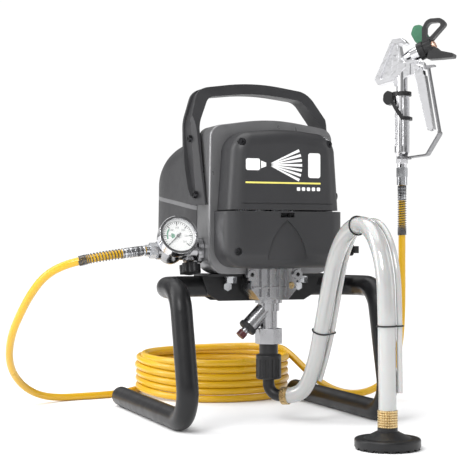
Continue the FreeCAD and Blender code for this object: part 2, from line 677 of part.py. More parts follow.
def manifold():
    """Cast arm on the casing's left: carries the gauge, the hose outlet and the pressure knob."""
    pad = rod(V(-CASE_HALF - 0.2, SEAT_Y, 213), V(-CASE_HALF - 7, SEAT_Y, 213), 15.5)
    spigot = rod(V(-CASE_HALF + 4, SEAT_Y, 213), V(-CASE_HALF - 2, SEAT_Y, 213), 8.9)
    arm = rod(V(-CASE_HALF - 3, SEAT_Y + 2, 213), V(-122, 29, 213), 12.0)
    lobe = Part.makeSphere(16.0, V(-120, 28, 212))
    boss = rod(V(-122, 30, 213), OUTLET, 11.0)
    knob_boss = rod(V(-98, 22, 213), KNOB_TOP + V(0, 0.5, 0.2), 8.0)
    stem = rod(V(-117, 27, 224), gauge_point(GAUGE_BACK - 2), 6.0)
    body = fuse([arm, pad, spigot, lobe, boss, knob_boss, stem])
    return body.cut(gauge_cylinder(GAUGE_BACK - 0.3, 40, GAUGE_R + 1).cut(
        gauge_cylinder(GAUGE_BACK - 3, GAUGE_BACK, 5.0)))


def gauge_normal():
    tilt = math.radians(GAUGE_TILT)
    return V(0, -math.cos(tilt), math.sin(tilt))


def gauge_point(depth):
    """Point on the gauge's axis; depth is measured outwards from the dial's centre."""
    return GAUGE + gauge_normal() * depth


def gauge_cylinder(start, end, radius):
    return rod(gauge_point(start), gauge_point(end), radius)


def gauge_parts():
    case = gauge_cylinder(GAUGE_BACK, 1, GAUGE_R - 1.5).cut(gauge_cylinder(-6, 2, GAUGE_R - 3.5))
    bezel = gauge_cylinder(-7, 4.5, GAUGE_R).cut(gauge_cylinder(-8, 1.0, GAUGE_R - 1.5))
    bezel = bezel.cut(gauge_cylinder(0.9, 5, GAUGE_R - 3.5))
    case = case.cut(gauge_cylinder(0.95, 2, GAUGE_R))
    dial = gauge_cylinder(-2.0, -1.0, GAUGE_R - 3.6)
    lens = gauge_cylinder(2.2, 3.6, GAUGE_R - 3.6)
    pivot = gauge_cylinder(-0.9, 1.4, 2.0)
    up = X_AXIS.cross(gauge_normal())
    angle = math.radians(222)
    along = X_AXIS * math.cos(angle) - up * math.sin(angle)
    across = gauge_normal().cross(along).normalize()
    base = gauge_point(0.2)
    points = [
        base + across * 1.1 - along * 5, base - across * 1.1 - along * 5,
        base - across * 0.35 + along * 16.5, base + across * 0.35 + along * 16.5,
    ]
    blade = Part.Face(Part.makePolygon(points + [points[0]])).extrude(gauge_normal() * 0.5)
    return {
        "gauge_case": fuse([case, bezel]),
        "gauge_dial": dial,
        "gauge_lens": lens,
        "gauge_needle": fuse([pivot, blade]),
    }


def knob_parts():
    """Lobed pressure knob under the manifold."""
    top = KNOB_TOP
    axis = V(0, -4, -15).normalize()
    core = rod(top + axis * 3, top + axis * 15, 9.5)
    lobes = []
    for i in range(5):
        lobe = rod(top + axis * 3.5 + V(9.5, 0, 0), top + axis * 14.5 + V(9.5, 0, 0), 4.0)
        lobes.append(lobe.rotated(top, axis, 72 * i))
    knob = fuse([core] + lobes)
    stem = rod(top + axis * 0.2, top + axis * 3, 4.5)
    return {"pressure_knob": knob.fuse(stem).removeSplitter()}


def outlet_fitting():
    nut = hexagon(OUTLET, OUTLET - V(9, 0, 0), 17)
    ring = rod(OUTLET - V(9, 0, 0), OUTLET - V(14, 0, 0), 7.0)
    return fuse([nut, ring]).cut(rod(OUTLET, OUTLET - V(20, 0, 0), 3.0))


def relief_valve():
    """Prime and spray valve on the casing's right, with its return barb and lever."""
    start = V(CASE_HALF + 0.2, -2, 214)
    body = fuse([
        rod(V(CASE_HALF - 10, -2, 214), start, 8.0),
        hexagon(start, start + V(8, 0, 0), 20),
        rod(start + V(8, 0, 0), start + V(14, 0, 0), 7.5),
    ])
    barb_path = [start + V(10, 0, -6), start + V(10, 0, -14), start + V(15, -6, -19)]
    barb = bent_rod(barb_path, [6.0], 3.6)
    body = body.fuse(barb).cut(rod(start + V(2, 0, 0), start + V(15, 0, 0), 3.1))
    hub = rod(start + V(14.3, 0, 0), start + V(30, 0, 0), 8.0)
    stem = rod(start + V(4, 0, 0), start + V(14.4, 0, 0), 3.05)
    bar = box(start.x + 21.5, start.x + 29, start.y - 24, start.y, 209.5, 218.5)
    bar = bar.makeFillet(2.0, [e for e in bar.Edges if e.BoundBox.YMax < start.y - 23])
    return {"relief_valve": body.removeSplitter(), "relief_lever": fuse([hub, stem, bar])}


def switch_parts():
    y = MOTOR_REAR
    bezel = box(-14, 14, y, y + 2.5, 290, 313).cut(box(-9.3, 9.3, y - 1, y + 3, 295.4, 307.6))
    can = box(-10.8, 10.8, y - 22, y, 294.2, 308.8).cut(box(-9.3, 9.3, y - 14, y + 1, 295.4, 307.6))
    rocker = box(-9.0, 9.0, y - 5, y + 3.2, SWITCH_Z - 5.0, SWITCH_Z + 5.0)
    rocker = rocker.fuse(rod(V(-9.0, y - 1, SWITCH_Z), V(9.0, y - 1, SWITCH_Z), 5.0))
    wedge = Part.Face(Part.makePolygon([
        V(-10, y + 4, SWITCH_Z), V(-10, y + 4, SWITCH_Z + 7), V(-10, y + 1.6, SWITCH_Z + 7),
        V(-10, y + 4, SWITCH_Z)]))
    rocker = rocker.cut(wedge.extrude(V(20, 0, 0)))
    gland = fuse([
        rod(V(-26, y - 14, 248), V(-26, y, 248), 7.8),
        rod(V(-26, y, 248), V(-26, y + 5, 248), 11.0),
        Part.makeCone(8.5, 6.0, 16, V(-26, y + 5, 248), Y_AXIS),
    ]).cut(rod(V(-26, y - 20, 248), V(-26, y + 30, 248), 3.8))
    return {"switch_frame": fuse([bezel, can]), "switch_rocker": rocker.removeSplitter(), "cable_gland": gland}


# ---------------------------------------------------------------- suction set

SUCTION_ROUTE = [
    V(14, -16, 33), V(26, -30, 34), V(35, -43, 50), V(39, -56, 80), V(40, -72, 122), V(40, -90, 166),
    V(38, -114, 209), V(38.5, -146, 238.5), V(40.5, -184, 244.5), V(39, -216, 228), V(37.5, -237, 194),
    V(38, -241, 150), V(38.5, -240.5, 100), V(39, -241, 58), V(39, -241, 34),
]

RETURN_ROUTE = [
    V(48, -47.5, 54), V(52.2, -60.5, 84), V(53.8, -76, 126), V(53.8, -93.5, 170),
    V(52, -116, 213), V(52.5, -147, 243), V(54.3, -185, 249.5), V(52.6, -219.5, 231.5), V(51, -241.5, 196),
    V(51, -245.3, 150), V(51.4, -244.8, 102), V(51.9, -245.3, 60),
]


def suction_parts():
    foot = STRAINER
    disc = rod(foot + V(0, 0, 3), foot + V(0, 0, 12), STRAINER_R)
    disc = disc.makeFillet(2.5, [e for e in disc.Edges if e.BoundBox.ZMin > 11.9])
    dome = Part.makeCone(26, 12, 7, foot + V(0, 0, 12), Z_AXIS)
    neck = rod(foot + V(0, 0, 19), foot + V(0, 0, 23), 11.0)
    rim = pipe_piece(foot, foot + V(0, 0, 3), STRAINER_R - 1.5, STRAINER_R - 5.0)
    for i in range(18):
        gap = box(STRAINER_R - 8, STRAINER_R + 2, -2.6, 2.6, -1, 2.2).rotated(V(0, 0, 0), Z_AXIS, 20 * i)
        rim = rim.cut(gap.translated(foot))
    strainer = fuse([disc, dome, neck, rim]).cut(rod(foot + V(0, 0, 2), foot + V(0, 0, 24), 6.0))
    screen = pipe_piece(foot + V(0, 0, 1.2), foot + V(0, 0, 3.2), STRAINER_R - 4.8, 5.0)
    collar = pipe_piece(foot + V(0, 0, 23), foot + V(0, 0, 42), 10.9, 9.85)
    clamp_dir = (SUCTION_ROUTE[1] - SUCTION_ROUTE[0]).normalize()
    first = SUCTION_ROUTE[0] + clamp_dir * 1.0
    clamp = pipe_piece(first, first + clamp_dir * 6, 11.2, 9.9)
    hose_route = SUCTION_ROUTE[:-1] + [STRAINER + V(0, 0, 23)]
    return {
        "suction_strainer": fuse([strainer, screen]),
        "suction_collars": group([collar, clamp]),
        "suction_hose": cord_tube("suction_hose", hose_route, SUCTION_R),
        "return_tube": cord_tube("return_tube", RETURN_ROUTE, RETURN_R),
    }


# ---------------------------------------------------------------- pressure hose

LEFT_ROUTE = [
    V(-151, 30, 213), V(-179, 29.8, 209.6), V(-207, 30.2, 205.7), V(-232, 33, 201), V(-254, 43, 194),
    V(-270.5, 62, 181), V(-281, 89, 159), V(-288, 119, 133), V(-292, 147, 109), V(-291, 175, 86),
    V(-285, 203, 63), V(-272, 230, 42), V(-252, 255, 23), V(-226, 275, 10), V(-196, 289, 5), V(-166, 295, 5),
    V(-138, 298, 5), V(-112, 306, 5), V(-91, 322, 5), V(-73, 345, 5),
]

RIGHT_ROUTE = [
    V(144, 296, 58), V(147, 269, 48), V(153, 243, 36), V(161, 218, 24), V(171, 193, 14.5), V(184, 169, 9),
    V(201, 149.5, 9), V(221.5, 137.5, 17), V(241, 134.5, 34), V(255.5, 139, 57), V(264, 144.5, 84.5),
    V(269, 149.5, 115), V(271.5, 152.8, 149), V(272, 154.1, 190), V(271.9, 154, 248), V(272, 154, 306),
]


def hose_parts():
    height = 2 * HOSE_R * (COIL_TURNS + 0.4)
    coil = pipe_piece(COIL, COIL + V(0, 0, height), COIL_R + HOSE_R + 1.5, COIL_R - HOSE_R - 1.5)
    start = OUTLET - V(14, 0, 0)
    axis = (GUARD_END - start).normalize()
    left_guard = pipe_piece(start + axis * 1.3, start + axis * 80, 7.6, HOSE_R + 0.15)
    ferrule = pipe_piece(GUN + V(0, 0, 306), GUN + V(0, 0, GUN_BASE_Z - 7), 7.5, 3.0)
    right_guard = pipe_piece(GUN + V(0, 0, 234), GUN + V(0, 0, 306), 7.6, HOSE_R + 0.15)
    nut = hexagon(GUN + V(0, 0, GUN_BASE_Z - 7), GUN + V(0, 0, GUN_BASE_Z + 6), 14)
    nut = nut.cut(rod(GUN + V(0, 0, GUN_BASE_Z - 8), GUN + V(0, 0, GUN_BASE_Z + 7), 3.0))
    nut = nut.cut(rod(GUN + V(0, 0, GUN_BASE_Z - 1), GUN + V(0, 0, GUN_BASE_Z + 7), 5.05))
    return {
        "hose_left_run": cord_tube("hose_left_run", LEFT_ROUTE, HOSE_R),
        "hose_coil": coil,
        "hose_right_run": cord_tube("hose_right_run", RIGHT_ROUTE, HOSE_R),
        "hose_guards": group([left_guard, right_guard]),
        "hose_fittings": group([outlet_fitting(), fuse([ferrule, nut])]),
    }


# ---------------------------------------------------------------- spray gun, drawn in its own plane
# a is the distance forward of the grip's axis, t is across the gun, z is the height.


def gun_prism(points, radii, t0, t1):
    wire = closed_outline([V(a, t0, z) for a, z in points], radii)
    return Part.Face(wire).extrude(V(0, t1 - t0, 0))


def place_gun(shape):
    return shape.rotated(V(0, 0, 0), Z_AXIS, GUN_TURN).translated(GUN)


BARREL_FROM = V(-6, 0, 483)
BARREL_DIR = V(math.cos(math.radians(22)), 0, math.sin(math.radians(22)))


def barrel(start, end, radius):
    return rod(BARREL_FROM + BARREL_DIR * start, BARREL_FROM + BARREL_DIR * end, radius)


def gun_parts():
    plate = gun_prism(
        [(-13, 516), (2, 517), (10, 509), (5, 507), (0, 511), (-2, 506), (2, 488), (8, 476), (0, 466),
         (-12, 456), (-34, 451), (-39, 459)],
        [4, 4, 1.5, 1.5, 2, 3, 8, 4, 6, 10, 3, 3], -8, 8)
    shoulder = gun_prism([(-12, 496), (10, 488), (34, 481), (36, 470), (8, 462), (-4, 448), (-10, 448), (-14, 470)],
                         [6, 10, 5, 6, 10, 3, 3, 10], -7, 7)
    neck = rod(V(0, 0, 440), V(0, 0, 470), 8.0)
    taper = Part.makeCone(5.0, 9.5, 18, BARREL_FROM + BARREL_DIR * 4, BARREL_DIR)
    tube = fuse([taper, barrel(22, 34, 9.5)])
    for t0, t1 in ((-9, -4.5), (4.5, 9)):
        panel = gun_prism([(-11, 509), (-5.5, 509), (-3, 489), (-5, 472), (-15, 463), (-31.5, 458)],
                          [1.5, 1.5, 6, 4, 6, 2], t0, t1)
        plate = plate.cut(panel)
    body = fuse([plate, shoulder, neck, tube])
    body = body.cut(barrel(-18, 60, 3.2)).cut(rod(V(-8, -9, 491), V(-8, 9, 491), 1.6))
    side_slots = fuse([box(14, 40, -12, -4.8, 455, 480), box(14, 40, 4.8, 12, 455, 480)])
    body = body.cut(side_slots)
    pivot = fuse([rod(V(24, -8.6, 474), V(24, 8.6, 474), 2.5), rod(V(24, -9.8, 474), V(24, -7.5, 474), 4.2)])
    body = fuse([body, pivot])

    grip = pipe_piece(V(0, 0, 353), V(0, 0, 440), 10.6, 4.0)
    for i in range(10):
        flute = rod(V(11.6, 0, 362), V(11.6, 0, 431), 1.9).rotated(V(0, 0, 0), Z_AXIS, 36 * i)
        grip = grip.cut(flute)
    grip = grip.cut(box(-20, 20, -20, -12, 300, 500))
    foot = fuse([
        Part.makeCone(8.0, 10.6, 6, V(0, 0, 347), Z_AXIS),
        hexagon(V(0, 0, 337), V(0, 0, 347), 15),
        rod(V(0, 0, GUN_BASE_Z + 6.2), V(0, 0, 337), 6.5),
        rod(V(0, 0, GUN_BASE_Z), V(0, 0, GUN_BASE_Z + 7), 5.0),
    ]).cut(rod(V(0, 0, 320), V(0, 0, 360), 3.0))

    guard = gun_prism([(37, 476), (49, 476), (49, 474), (40.5, 473.5), (57.5, 378), (38.5, 347.5), (11, 344.6),
                       (11, 346.6), (37.4, 349.5), (55.2, 378.4), (38.6, 472), (37, 474)],
                      [0, 0, 0, 2, 5, 4, 0, 0, 3, 4, 2, 0], -9, 9)
    for t0, t1 in ((-10, -5.2), (5.2, 10)):
        guard = guard.cut(box(30, 70, t0, t1, 381, 480))
    guard = guard.cut(box(0, 13.2, -10, 10, 340, 350)).cut(rod(V(0, 0, 335), V(0, 0, 355), 13.2))
    clip = pipe_piece(V(0, 0, 343.2), V(0, 0, 346.8), 13.6, 8.75)
    bridge = box(12.8, 16, -7, 7, 344.9, 346.8)
    guard = fuse([guard, clip.cut(box(-20, -3, -20, 20, 340, 350)), bridge])
    guard = guard.fuse(box(34.6, 38, -4.6, 4.6, 471, 475.8)).removeSplitter()

    trigger = []
    for side in (-1, 1):
        t0, t1 = sorted((side * 5.0, side * 7.4))
        cheek = gun_prism([(18, 478), (30, 478), (33, 468), (47, 384), (40, 382), (21, 462)],
                          [5, 5, 6, 3, 3, 8], t0, t1)
        trigger.append(cheek.cut(rod(V(24, -12, 474), V(24, 12, 474), 2.55)))
    face = gun_prism([(33.6, 462), (35.6, 462), (48.6, 384), (46.6, 384)], [0, 0, 0, 0], -7.4, 7.4)
    trigger_solid = fuse(trigger + [face])

    horn = gun_prism([(-13.5, 440), (-12, 432), (-14, 424), (-21, 421), (-27, 428), (-26, 438), (-20, 443)],
                     [1, 1, 4, 5, 6, 6, 4], -6, 6)
    band = pipe_piece(V(0, 0, 434), V(0, 0, 440), 13.6, 10.75)
    strap = gun_prism([(-14, 438), (-11.5, 430), (6, 404), (14, 404), (14, 399), (3, 399), (-15, 425)],
                      [1, 2, 2, 1, 1, 4, 4], -13.6, 13.6)
    strap = strap.cut(rod(V(0, 0, 380), V(0, 0, 450), 10.75)).common(rod(V(0, 0, 380), V(0, 0, 450), 15.0))
    saddle_piece = fuse([horn, band, strap])

    needle = fuse([barrel(-10, 38, 1.5), barrel(-13, -9, 3.1)])
    needle = needle.cut(barrel(-14, -12.5, 1.0))
    diffuser = hexagon(BARREL_FROM + BARREL_DIR * 34.2, BARREL_FROM + BARREL_DIR * 41, 19)
    diffuser = diffuser.cut(barrel(33, 42, 3.2))

    across = Y_AXIS
    tip_at = BARREL_FROM + BARREL_DIR * 47
    collar = barrel(34.5, 43, 12.8).cut(barrel(34, 41.2, 11.3))
    hood = fuse([barrel(41.2, 55, 10.5), collar]).cut(barrel(51.5, 56, 5.0)).cut(barrel(41, 52, 3.2))
    hood = hood.cut(rod(tip_at - across * 8.6, tip_at + across * 14, 3.6))
    upper_wing = gun_prism([(31, 503), (31, 529), (38, 542), (59, 542), (66.5, 533), (47.5, 513), (41, 506)],
                           [0, 10, 12, 9, 5, 3, 0], -5.5, 5.5)
    window = gun_prism([(36.5, 515.5), (37, 530), (41.5, 536.3), (55.5, 536.3), (59, 532), (43.5, 516.5)],
                       [1.5, 5, 6, 4, 3, 2], -7, 7)
    upper_wing = upper_wing.cut(window)
    lower_wing = gun_prism([(42, 498), (50, 502), (58, 495), (78, 490), (77, 484.5), (58, 484), (39, 484)],
                           [0, 0, 6, 2, 2, 10, 2], -9, 9)
    bore = fuse([barrel(30, 55, 10.4), barrel(54, 70, 7.9), barrel(20, 41.3, 16)])
    tip_guard = fuse([hood, upper_wing.cut(bore), lower_wing.cut(bore)])

    tip_stem = rod(tip_at - across * 8.4, tip_at + across * 14, 3.5)
    hub = rod(tip_at + across * 13.3, tip_at + across * 17.5, 7.0)
    flag = gun_prism([(42, 497), (34, 495), (15, 514), (9, 525), (13, 537), (24, 538), (31, 528), (44, 505)],
                     [5, 4, 8, 6, 6, 7, 10, 5], 13.3, 17.5)
    bore = barrel(38, 56, 0.6)
    tip_handle = fuse([tip_stem, hub, flag]).cut(bore)

    shapes = {
        "gun_body": body,
        "gun_grip": grip,
        "gun_swivel": foot,
        "trigger_guard": guard,
        "gun_trigger": trigger_solid,
        "grip_saddle": saddle_piece,
        "gun_needle": needle,
        "gun_diffuser": diffuser,
        "tip_guard": tip_guard,
        "spray_tip": tip_handle,
    }
    return {name: place_gun(shape) for name, shape in shapes.items()}


# ---------------------------------------------------------------- assembly


def build_all():
    pan, belt, shroud, crown = rear_covers()
    nodes = {
        "frame_tube": frame_tube(),
        "foot_end_caps": foot_caps(),
        "saddle_bracket": saddle(),
        "saddle_bolts": saddle_bolts(),
        "gear_case": gear_case(),
        "front_cover_upper": front_cover_upper(),
        "front_cover_lower": front_cover_lower(),
        "case_screws": case_screws(),
        "motor_pan": pan,
        "motor_shroud": shroud,
        "motor_trim": group([belt, crown]),
        "carrying_handle": carrying_handle(),
        "pump_block": pump_block(),
        "inlet_housing": inlet_housing(),
        "suction_coupling": suction_coupling(),
        "outlet_manifold": manifold(),
    }
    for parts in (motor_parts(), gear_train(), piston_parts(), inlet_parts(), gauge_parts(), knob_parts(),
                  relief_valve(), switch_parts(), suction_parts(), hose_parts(), gun_parts()):
        nodes.update(parts)
    return nodes


# Pieces of the free hoses and what is on them; the origin is taken without these.
CORD_NODES = [
    "suction_hose", "return_tube", "suction_collars", "suction_strainer",
    "hose_left_run", "hose_coil", "hose_right_run", "hose_guards", "hose_fittings",
]


def main():
    os.makedirs("parts", exist_ok=True)
    nodes = build_all()
    bounds = FreeCAD.BoundBox()
    for name, shape in nodes.items():
        if name not in CORD_NODES:
            bounds.add(shape.optimalBoundingBox(False))
    shift = V(-(bounds.XMin + bounds.XMax) / 2, -(bounds.YMin + bounds.YMax) / 2, -bounds.ZMin)
    print("nodes %d shift %.3f %.3f %.3f" % (len(nodes), shift.x, shift.y, shift.z))
    print("size %.1f %.1f %.1f" % (bounds.XLength, bounds.YLength, bounds.ZLength))
    for name, shape in sorted(nodes.items()):
        moved = shape.translated(shift)
        if not moved.isValid() or not moved.Solids:
            print("BAD", name, moved.isValid(), len(moved.Solids))
        moved.exportStep("parts/%s.step" % name)
        print("%-20s solids %d volume %.0f" % (name, len(moved.Solids), moved.Volume))


main()
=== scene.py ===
import json
import math
import bpy
from mathutils import Matrix, Vector


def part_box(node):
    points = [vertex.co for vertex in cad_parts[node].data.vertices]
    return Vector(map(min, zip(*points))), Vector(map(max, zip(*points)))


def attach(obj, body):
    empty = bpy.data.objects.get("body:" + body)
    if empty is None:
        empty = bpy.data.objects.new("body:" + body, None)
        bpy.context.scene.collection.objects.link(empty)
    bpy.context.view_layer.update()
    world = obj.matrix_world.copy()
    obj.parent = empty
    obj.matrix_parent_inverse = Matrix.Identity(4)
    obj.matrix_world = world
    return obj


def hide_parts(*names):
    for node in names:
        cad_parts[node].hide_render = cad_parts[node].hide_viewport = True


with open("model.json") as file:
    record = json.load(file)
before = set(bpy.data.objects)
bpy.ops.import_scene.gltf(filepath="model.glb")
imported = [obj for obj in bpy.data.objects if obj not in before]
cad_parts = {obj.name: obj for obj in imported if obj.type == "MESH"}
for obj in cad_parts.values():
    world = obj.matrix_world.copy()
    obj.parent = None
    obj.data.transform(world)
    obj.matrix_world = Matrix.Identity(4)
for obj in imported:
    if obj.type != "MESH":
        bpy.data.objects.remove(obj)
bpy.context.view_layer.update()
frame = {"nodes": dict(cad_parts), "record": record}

# Looks of the airless paint sprayer. Every length below is in millimetres of the part's layout frame,
# whose origin is on the floor under the pump's axis; place() takes it to the row frame in metres.

MM = 0.001
MOUNTS = {m["name"]: Vector(m["pos_m"]) for m in frame["record"]["mounts"]}
FEET_MIDDLE_Y = 66.0
LAYOUT = MOUNTS["stand_feet"] - Vector((0, FEET_MIDDLE_Y * MM, 0))
RIGHT = Vector((1, 0, 0))
UP = Vector((0, 0, 1))
FACE_OUT = Vector((0, -1, 0))


def place(x, y, z):
    return Vector((x, y, z)) * MM + LAYOUT


# ---------------------------------------------------------------- camera

CAMERA_AT = (-598, -1441, 220)
CAMERA_TURN = -21.0       # degrees about the vertical from looking along +Y
LENS = 95.74
RISE = 0.021              # vertical shift that puts the horizon a little under the middle


def make_camera():
    data = bpy.data.cameras.new("camera")
    data.lens = LENS
    data.sensor_width = 36.0
    data.shift_y = RISE
    data.clip_end = 100.0
    camera = bpy.data.objects.new("camera", data)
    camera.location = place(*CAMERA_AT)
    camera.rotation_euler = (math.radians(90), 0, math.radians(CAMERA_TURN))
    bpy.context.scene.collection.objects.link(camera)
    bpy.context.scene.camera = camera


make_camera()

# ---------------------------------------------------------------- hoses

HOSE_D = 10.0
SUCTION_D = 19.6
RETURN_D = 6.4

LEFT_ROUTE = [
    (-151, 30, 213), (-179, 29.8, 209.6), (-207, 30.2, 205.7), (-232, 33, 201), (-254, 43, 194),
    (-270.5, 62, 181), (-281, 89, 159), (-288, 119, 133), (-292, 147, 109), (-291, 175, 86),
    (-285, 203, 63), (-272, 230, 42), (-252, 255, 23), (-226, 275, 10), (-196, 289, 5), (-166, 295, 5),
    (-138, 298, 5), (-112, 306, 5), (-91, 322, 5), (-73, 345, 5),
]

RIGHT_ROUTE = [
    (144, 296, 65), (147, 269, 57), (153, 243, 43), (161, 218, 28), (171, 193, 16), (184, 169, 9),
    (201, 149.5, 9), (221.5, 137.5, 17), (241, 134.5, 34), (255.5, 139, 57), (264, 144.5, 84.5),
    (269, 149.5, 115), (271.5, 152.8, 149), (272, 154.1, 190), (271.9, 154, 248), (272, 154, 306),
]

SUCTION_ROUTE = [
    (14, -16, 33), (26, -30, 34), (35, -43, 50), (39, -56, 80), (40, -72, 122), (40, -90, 166),
    (38, -114, 209), (38.5, -146, 238.5), (40.5, -184, 244.5), (39, -216, 228), (37.5, -237, 194),
    (38, -241, 150), (38.5, -240.5, 100), (39, -241, 58), (39, -241, 23),
]

RETURN_ROUTE = [
    (48, -47.5, 54), (52.2, -60.5, 84), (53.8, -76, 126), (53.8, -93.5, 170),
    (52, -116, 213), (52.5, -147, 243), (54.3, -185, 249.5), (52.6, -219.5, 231.5), (51, -241.5, 196),
    (51, -245.3, 150), (51.4, -244.8, 102), (51.9, -245.3, 60),
]

COIL = (34, 300)
COIL_R = 110.0
COIL_FULL_TURNS = 6
COIL_POINTS = 18          # points in each turn
COIL_START = 155.0        # degrees at which the left run meets the coil
COIL_END = -4.0
LAY_DIP = 1.2             # how far the turns wander in and out
CLIMB = 0.25              # share of each turn in which it climbs to the next
LEAVING = 0.12            # turns past the last full one at which the hose starts to leave
TUCK = 0.95               # how far in the last turn lies, in hose diameters
TUCK_LIFT = 4.0


def smooth(t):
    t = max(0.0, min(1.0, t))
    return t * t * (3 - 2 * t)


def coil_turns():
    """Stacked turns, clockwise from above. Each climbs a hose's width just before it closes."""
    total = (COIL_START - COIL_END) / 360 + COIL_FULL_TURNS
    count = int(total * COIL_POINTS)
    points = []
    for i in range(1, count):
        turn = total * i / count
        layer = min(int(turn), COIL_FULL_TURNS - 1)
        part = turn - layer
        climb = smooth((part - 1 + CLIMB) / CLIMB) if layer < COIL_FULL_TURNS - 1 else 0.0
        height = HOSE_D / 2 + HOSE_D * (layer + climb)
        radius = COIL_R + LAY_DIP * math.sin(2.4 * turn + 1.3 * layer)
        if layer == COIL_FULL_TURNS - 1:
            past = turn - COIL_FULL_TURNS
            inside = smooth((past + CLIMB) / CLIMB)
            leaving = smooth((past - LEAVING) / (total - COIL_FULL_TURNS - LEAVING))
            radius -= HOSE_D * TUCK * inside * (1 - leaving)
            height += TUCK_LIFT * inside * (1 - leaving) + HOSE_D * leaving
        angle = math.radians(COIL_START - 360 * turn)
        points.append((COIL[0] + radius * math.cos(angle), COIL[1] + radius * math.sin(angle), height))
    return points


def hose_curve(name, route, diameter, resolution=6):
    """Free hose: one open NURBS spline with the route's points as its control points.

    Each point's radius is the hose's own, and the bevel depth is 1, so the curve's bounds are the hose's."""
    data = bpy.data.curves.new(name, "CURVE")
    data.dimensions = "3D"
    data.resolution_u = resolution
    data.bevel_depth = 1.0
    data.bevel_resolution = 8
    data.use_fill_caps = True
    spline = data.splines.new("NURBS")
    spline.points.add(len(route) - 1)
    for point, (x, y, z) in zip(spline.points, route):
        point.co = (*place(x, y, z), 1.0)
        point.radius = diameter / 2 * MM
    spline.order_u = 3
    spline.use_endpoint_u = True
    curve = bpy.data.objects.new(name, data)
    bpy.context.scene.collection.objects.link(curve)
    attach(curve, "root")
    return curve


def centreline(curve):
    """Points along a hose's own spline, in metres."""
    bare = curve.data.copy()
    bare.bevel_depth = 0
    scratch = bpy.data.objects.new("scratch", bare)
    mesh = bpy.data.meshes.new_from_object(scratch)
    points = [v.co.copy() for v in mesh.vertices]
    bpy.data.meshes.remove(mesh)
    bpy.data.objects.remove(scratch)
    bpy.data.curves.remove(bare)
    return points


def line_length(points):
    return sum((b - a).length for a, b in zip(points, points[1:]))


pressure_hose = hose_curve("pressure_hose", LEFT_ROUTE + coil_turns() + RIGHT_ROUTE, HOSE_D, 5)
suction_hose = hose_curve("clear_suction_hose", SUCTION_ROUTE, SUCTION_D, 10)
return_tube = hose_curve("clear_return_tube", RETURN_ROUTE, RETURN_D, 10)
PRESSURE_LINE = centreline(pressure_hose)
SUCTION_LINE = centreline(suction_hose)
RETURN_LINE = centreline(return_tube)
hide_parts("hose_left_run", "hose_coil", "hose_right_run")
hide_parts("suction_hose")
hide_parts("return_tube")

# ---------------------------------------------------------------- materials

MATERIALS = {}


class Surface:
    """Builds one procedural material round a Principled shader."""

    def __init__(self, name, color, roughness, metallic=0.0):
        self.material = bpy.data.materials.new(name)
        self.material.use_nodes = True
        self.tree = self.material.node_tree
        self.shader = self.tree.nodes["Principled BSDF"]
        self.shader.inputs["Metallic"].default_value = metallic
        self.shader.inputs["Roughness"].default_value = roughness
        self.shader.inputs["Base Color"].default_value = (*color, 1)
        self.coords = self.tree.nodes.new("ShaderNodeTexCoord")
        self.color = color
        self.roughness = roughness
        self.normal = None
        MATERIALS[name] = self.material

    def set(self, **values):
        for key, value in values.items():
            self.shader.inputs[key.replace("_", " ").title().replace("Ior", "IOR")].default_value = value
        return self

    def noise(self, scale, detail=3.0, stretch=(1, 1, 1)):
        """Noise in the row frame; scale is in features per metre."""
        mapping = self.tree.nodes.new("ShaderNodeMapping")
        mapping.inputs["Scale"].default_value = stretch
        self.tree.links.new(self.coords.outputs["Object"], mapping.inputs["Vector"])
        noise = self.tree.nodes.new("ShaderNodeTexNoise")
        noise.inputs["Scale"].default_value = scale
        noise.inputs["Detail"].default_value = detail
        self.tree.links.new(mapping.outputs["Vector"], noise.inputs["Vector"])
        return noise.outputs["Fac"]

    def ramp(self, value, low, high, at=(0.35, 0.65)):
        ramp = self.tree.nodes.new("ShaderNodeValToRGB")
        ramp.color_ramp.elements[0].position = at[0]
        ramp.color_ramp.elements[1].position = at[1]
        ramp.color_ramp.elements[0].color = (*low, 1)
        ramp.color_ramp.elements[1].color = (*high, 1)
        self.tree.links.new(value, ramp.inputs["Fac"])
        return ramp.outputs["Color"]

    def mottle(self, scale, amount, detail=4.0):
        """Lighter and darker patches of the base colour."""
        low = [c * (1 - amount) for c in self.color]
        high = [min(1.0, c * (1 + amount)) for c in self.color]
        tone = self.ramp(self.noise(scale, detail), low, high)
        self.tree.links.new(tone, self.shader.inputs["Base Color"])
        return self

    def gloss(self, scale, amount, stretch=(1, 1, 1)):
        """Roughness that varies over the surface."""
        spread = self.tree.nodes.new("ShaderNodeMapRange")
        spread.inputs["From Min"].default_value = 0.3
        spread.inputs["From Max"].default_value = 0.7
        spread.inputs["To Min"].default_value = max(0.02, self.roughness - amount)
        spread.inputs["To Max"].default_value = min(1.0, self.roughness + amount)
        self.tree.links.new(self.noise(scale, 4.0, stretch), spread.inputs["Value"])
        self.tree.links.new(spread.outputs["Result"], self.shader.inputs["Roughness"])
        return self

    def grain(self, scale, depth, strength=0.4, detail=3.0, stretch=(1, 1, 1)):
        """Bump; depth is in millimetres."""
        bump = self.tree.nodes.new("ShaderNodeBump")
        bump.inputs["Strength"].default_value = strength
        bump.inputs["Distance"].default_value = depth * MM
        self.tree.links.new(self.noise(scale, detail, stretch), bump.inputs["Height"])
        if self.normal:
            self.tree.links.new(self.normal, bump.inputs["Normal"])
        self.normal = bump.outputs["Normal"]
        self.tree.links.new(self.normal, self.shader.inputs["Normal"])
        return self

    def soft_edges(self, radius):
        """Rounds sharp edges in the shading; radius is in millimetres."""
        bevel = self.tree.nodes.new("ShaderNodeBevel")
        bevel.samples = 4
        bevel.inputs["Radius"].default_value = radius * MM
        self.normal = bevel.outputs["Normal"]
        self.tree.links.new(self.normal, self.shader.inputs["Normal"])
        return self


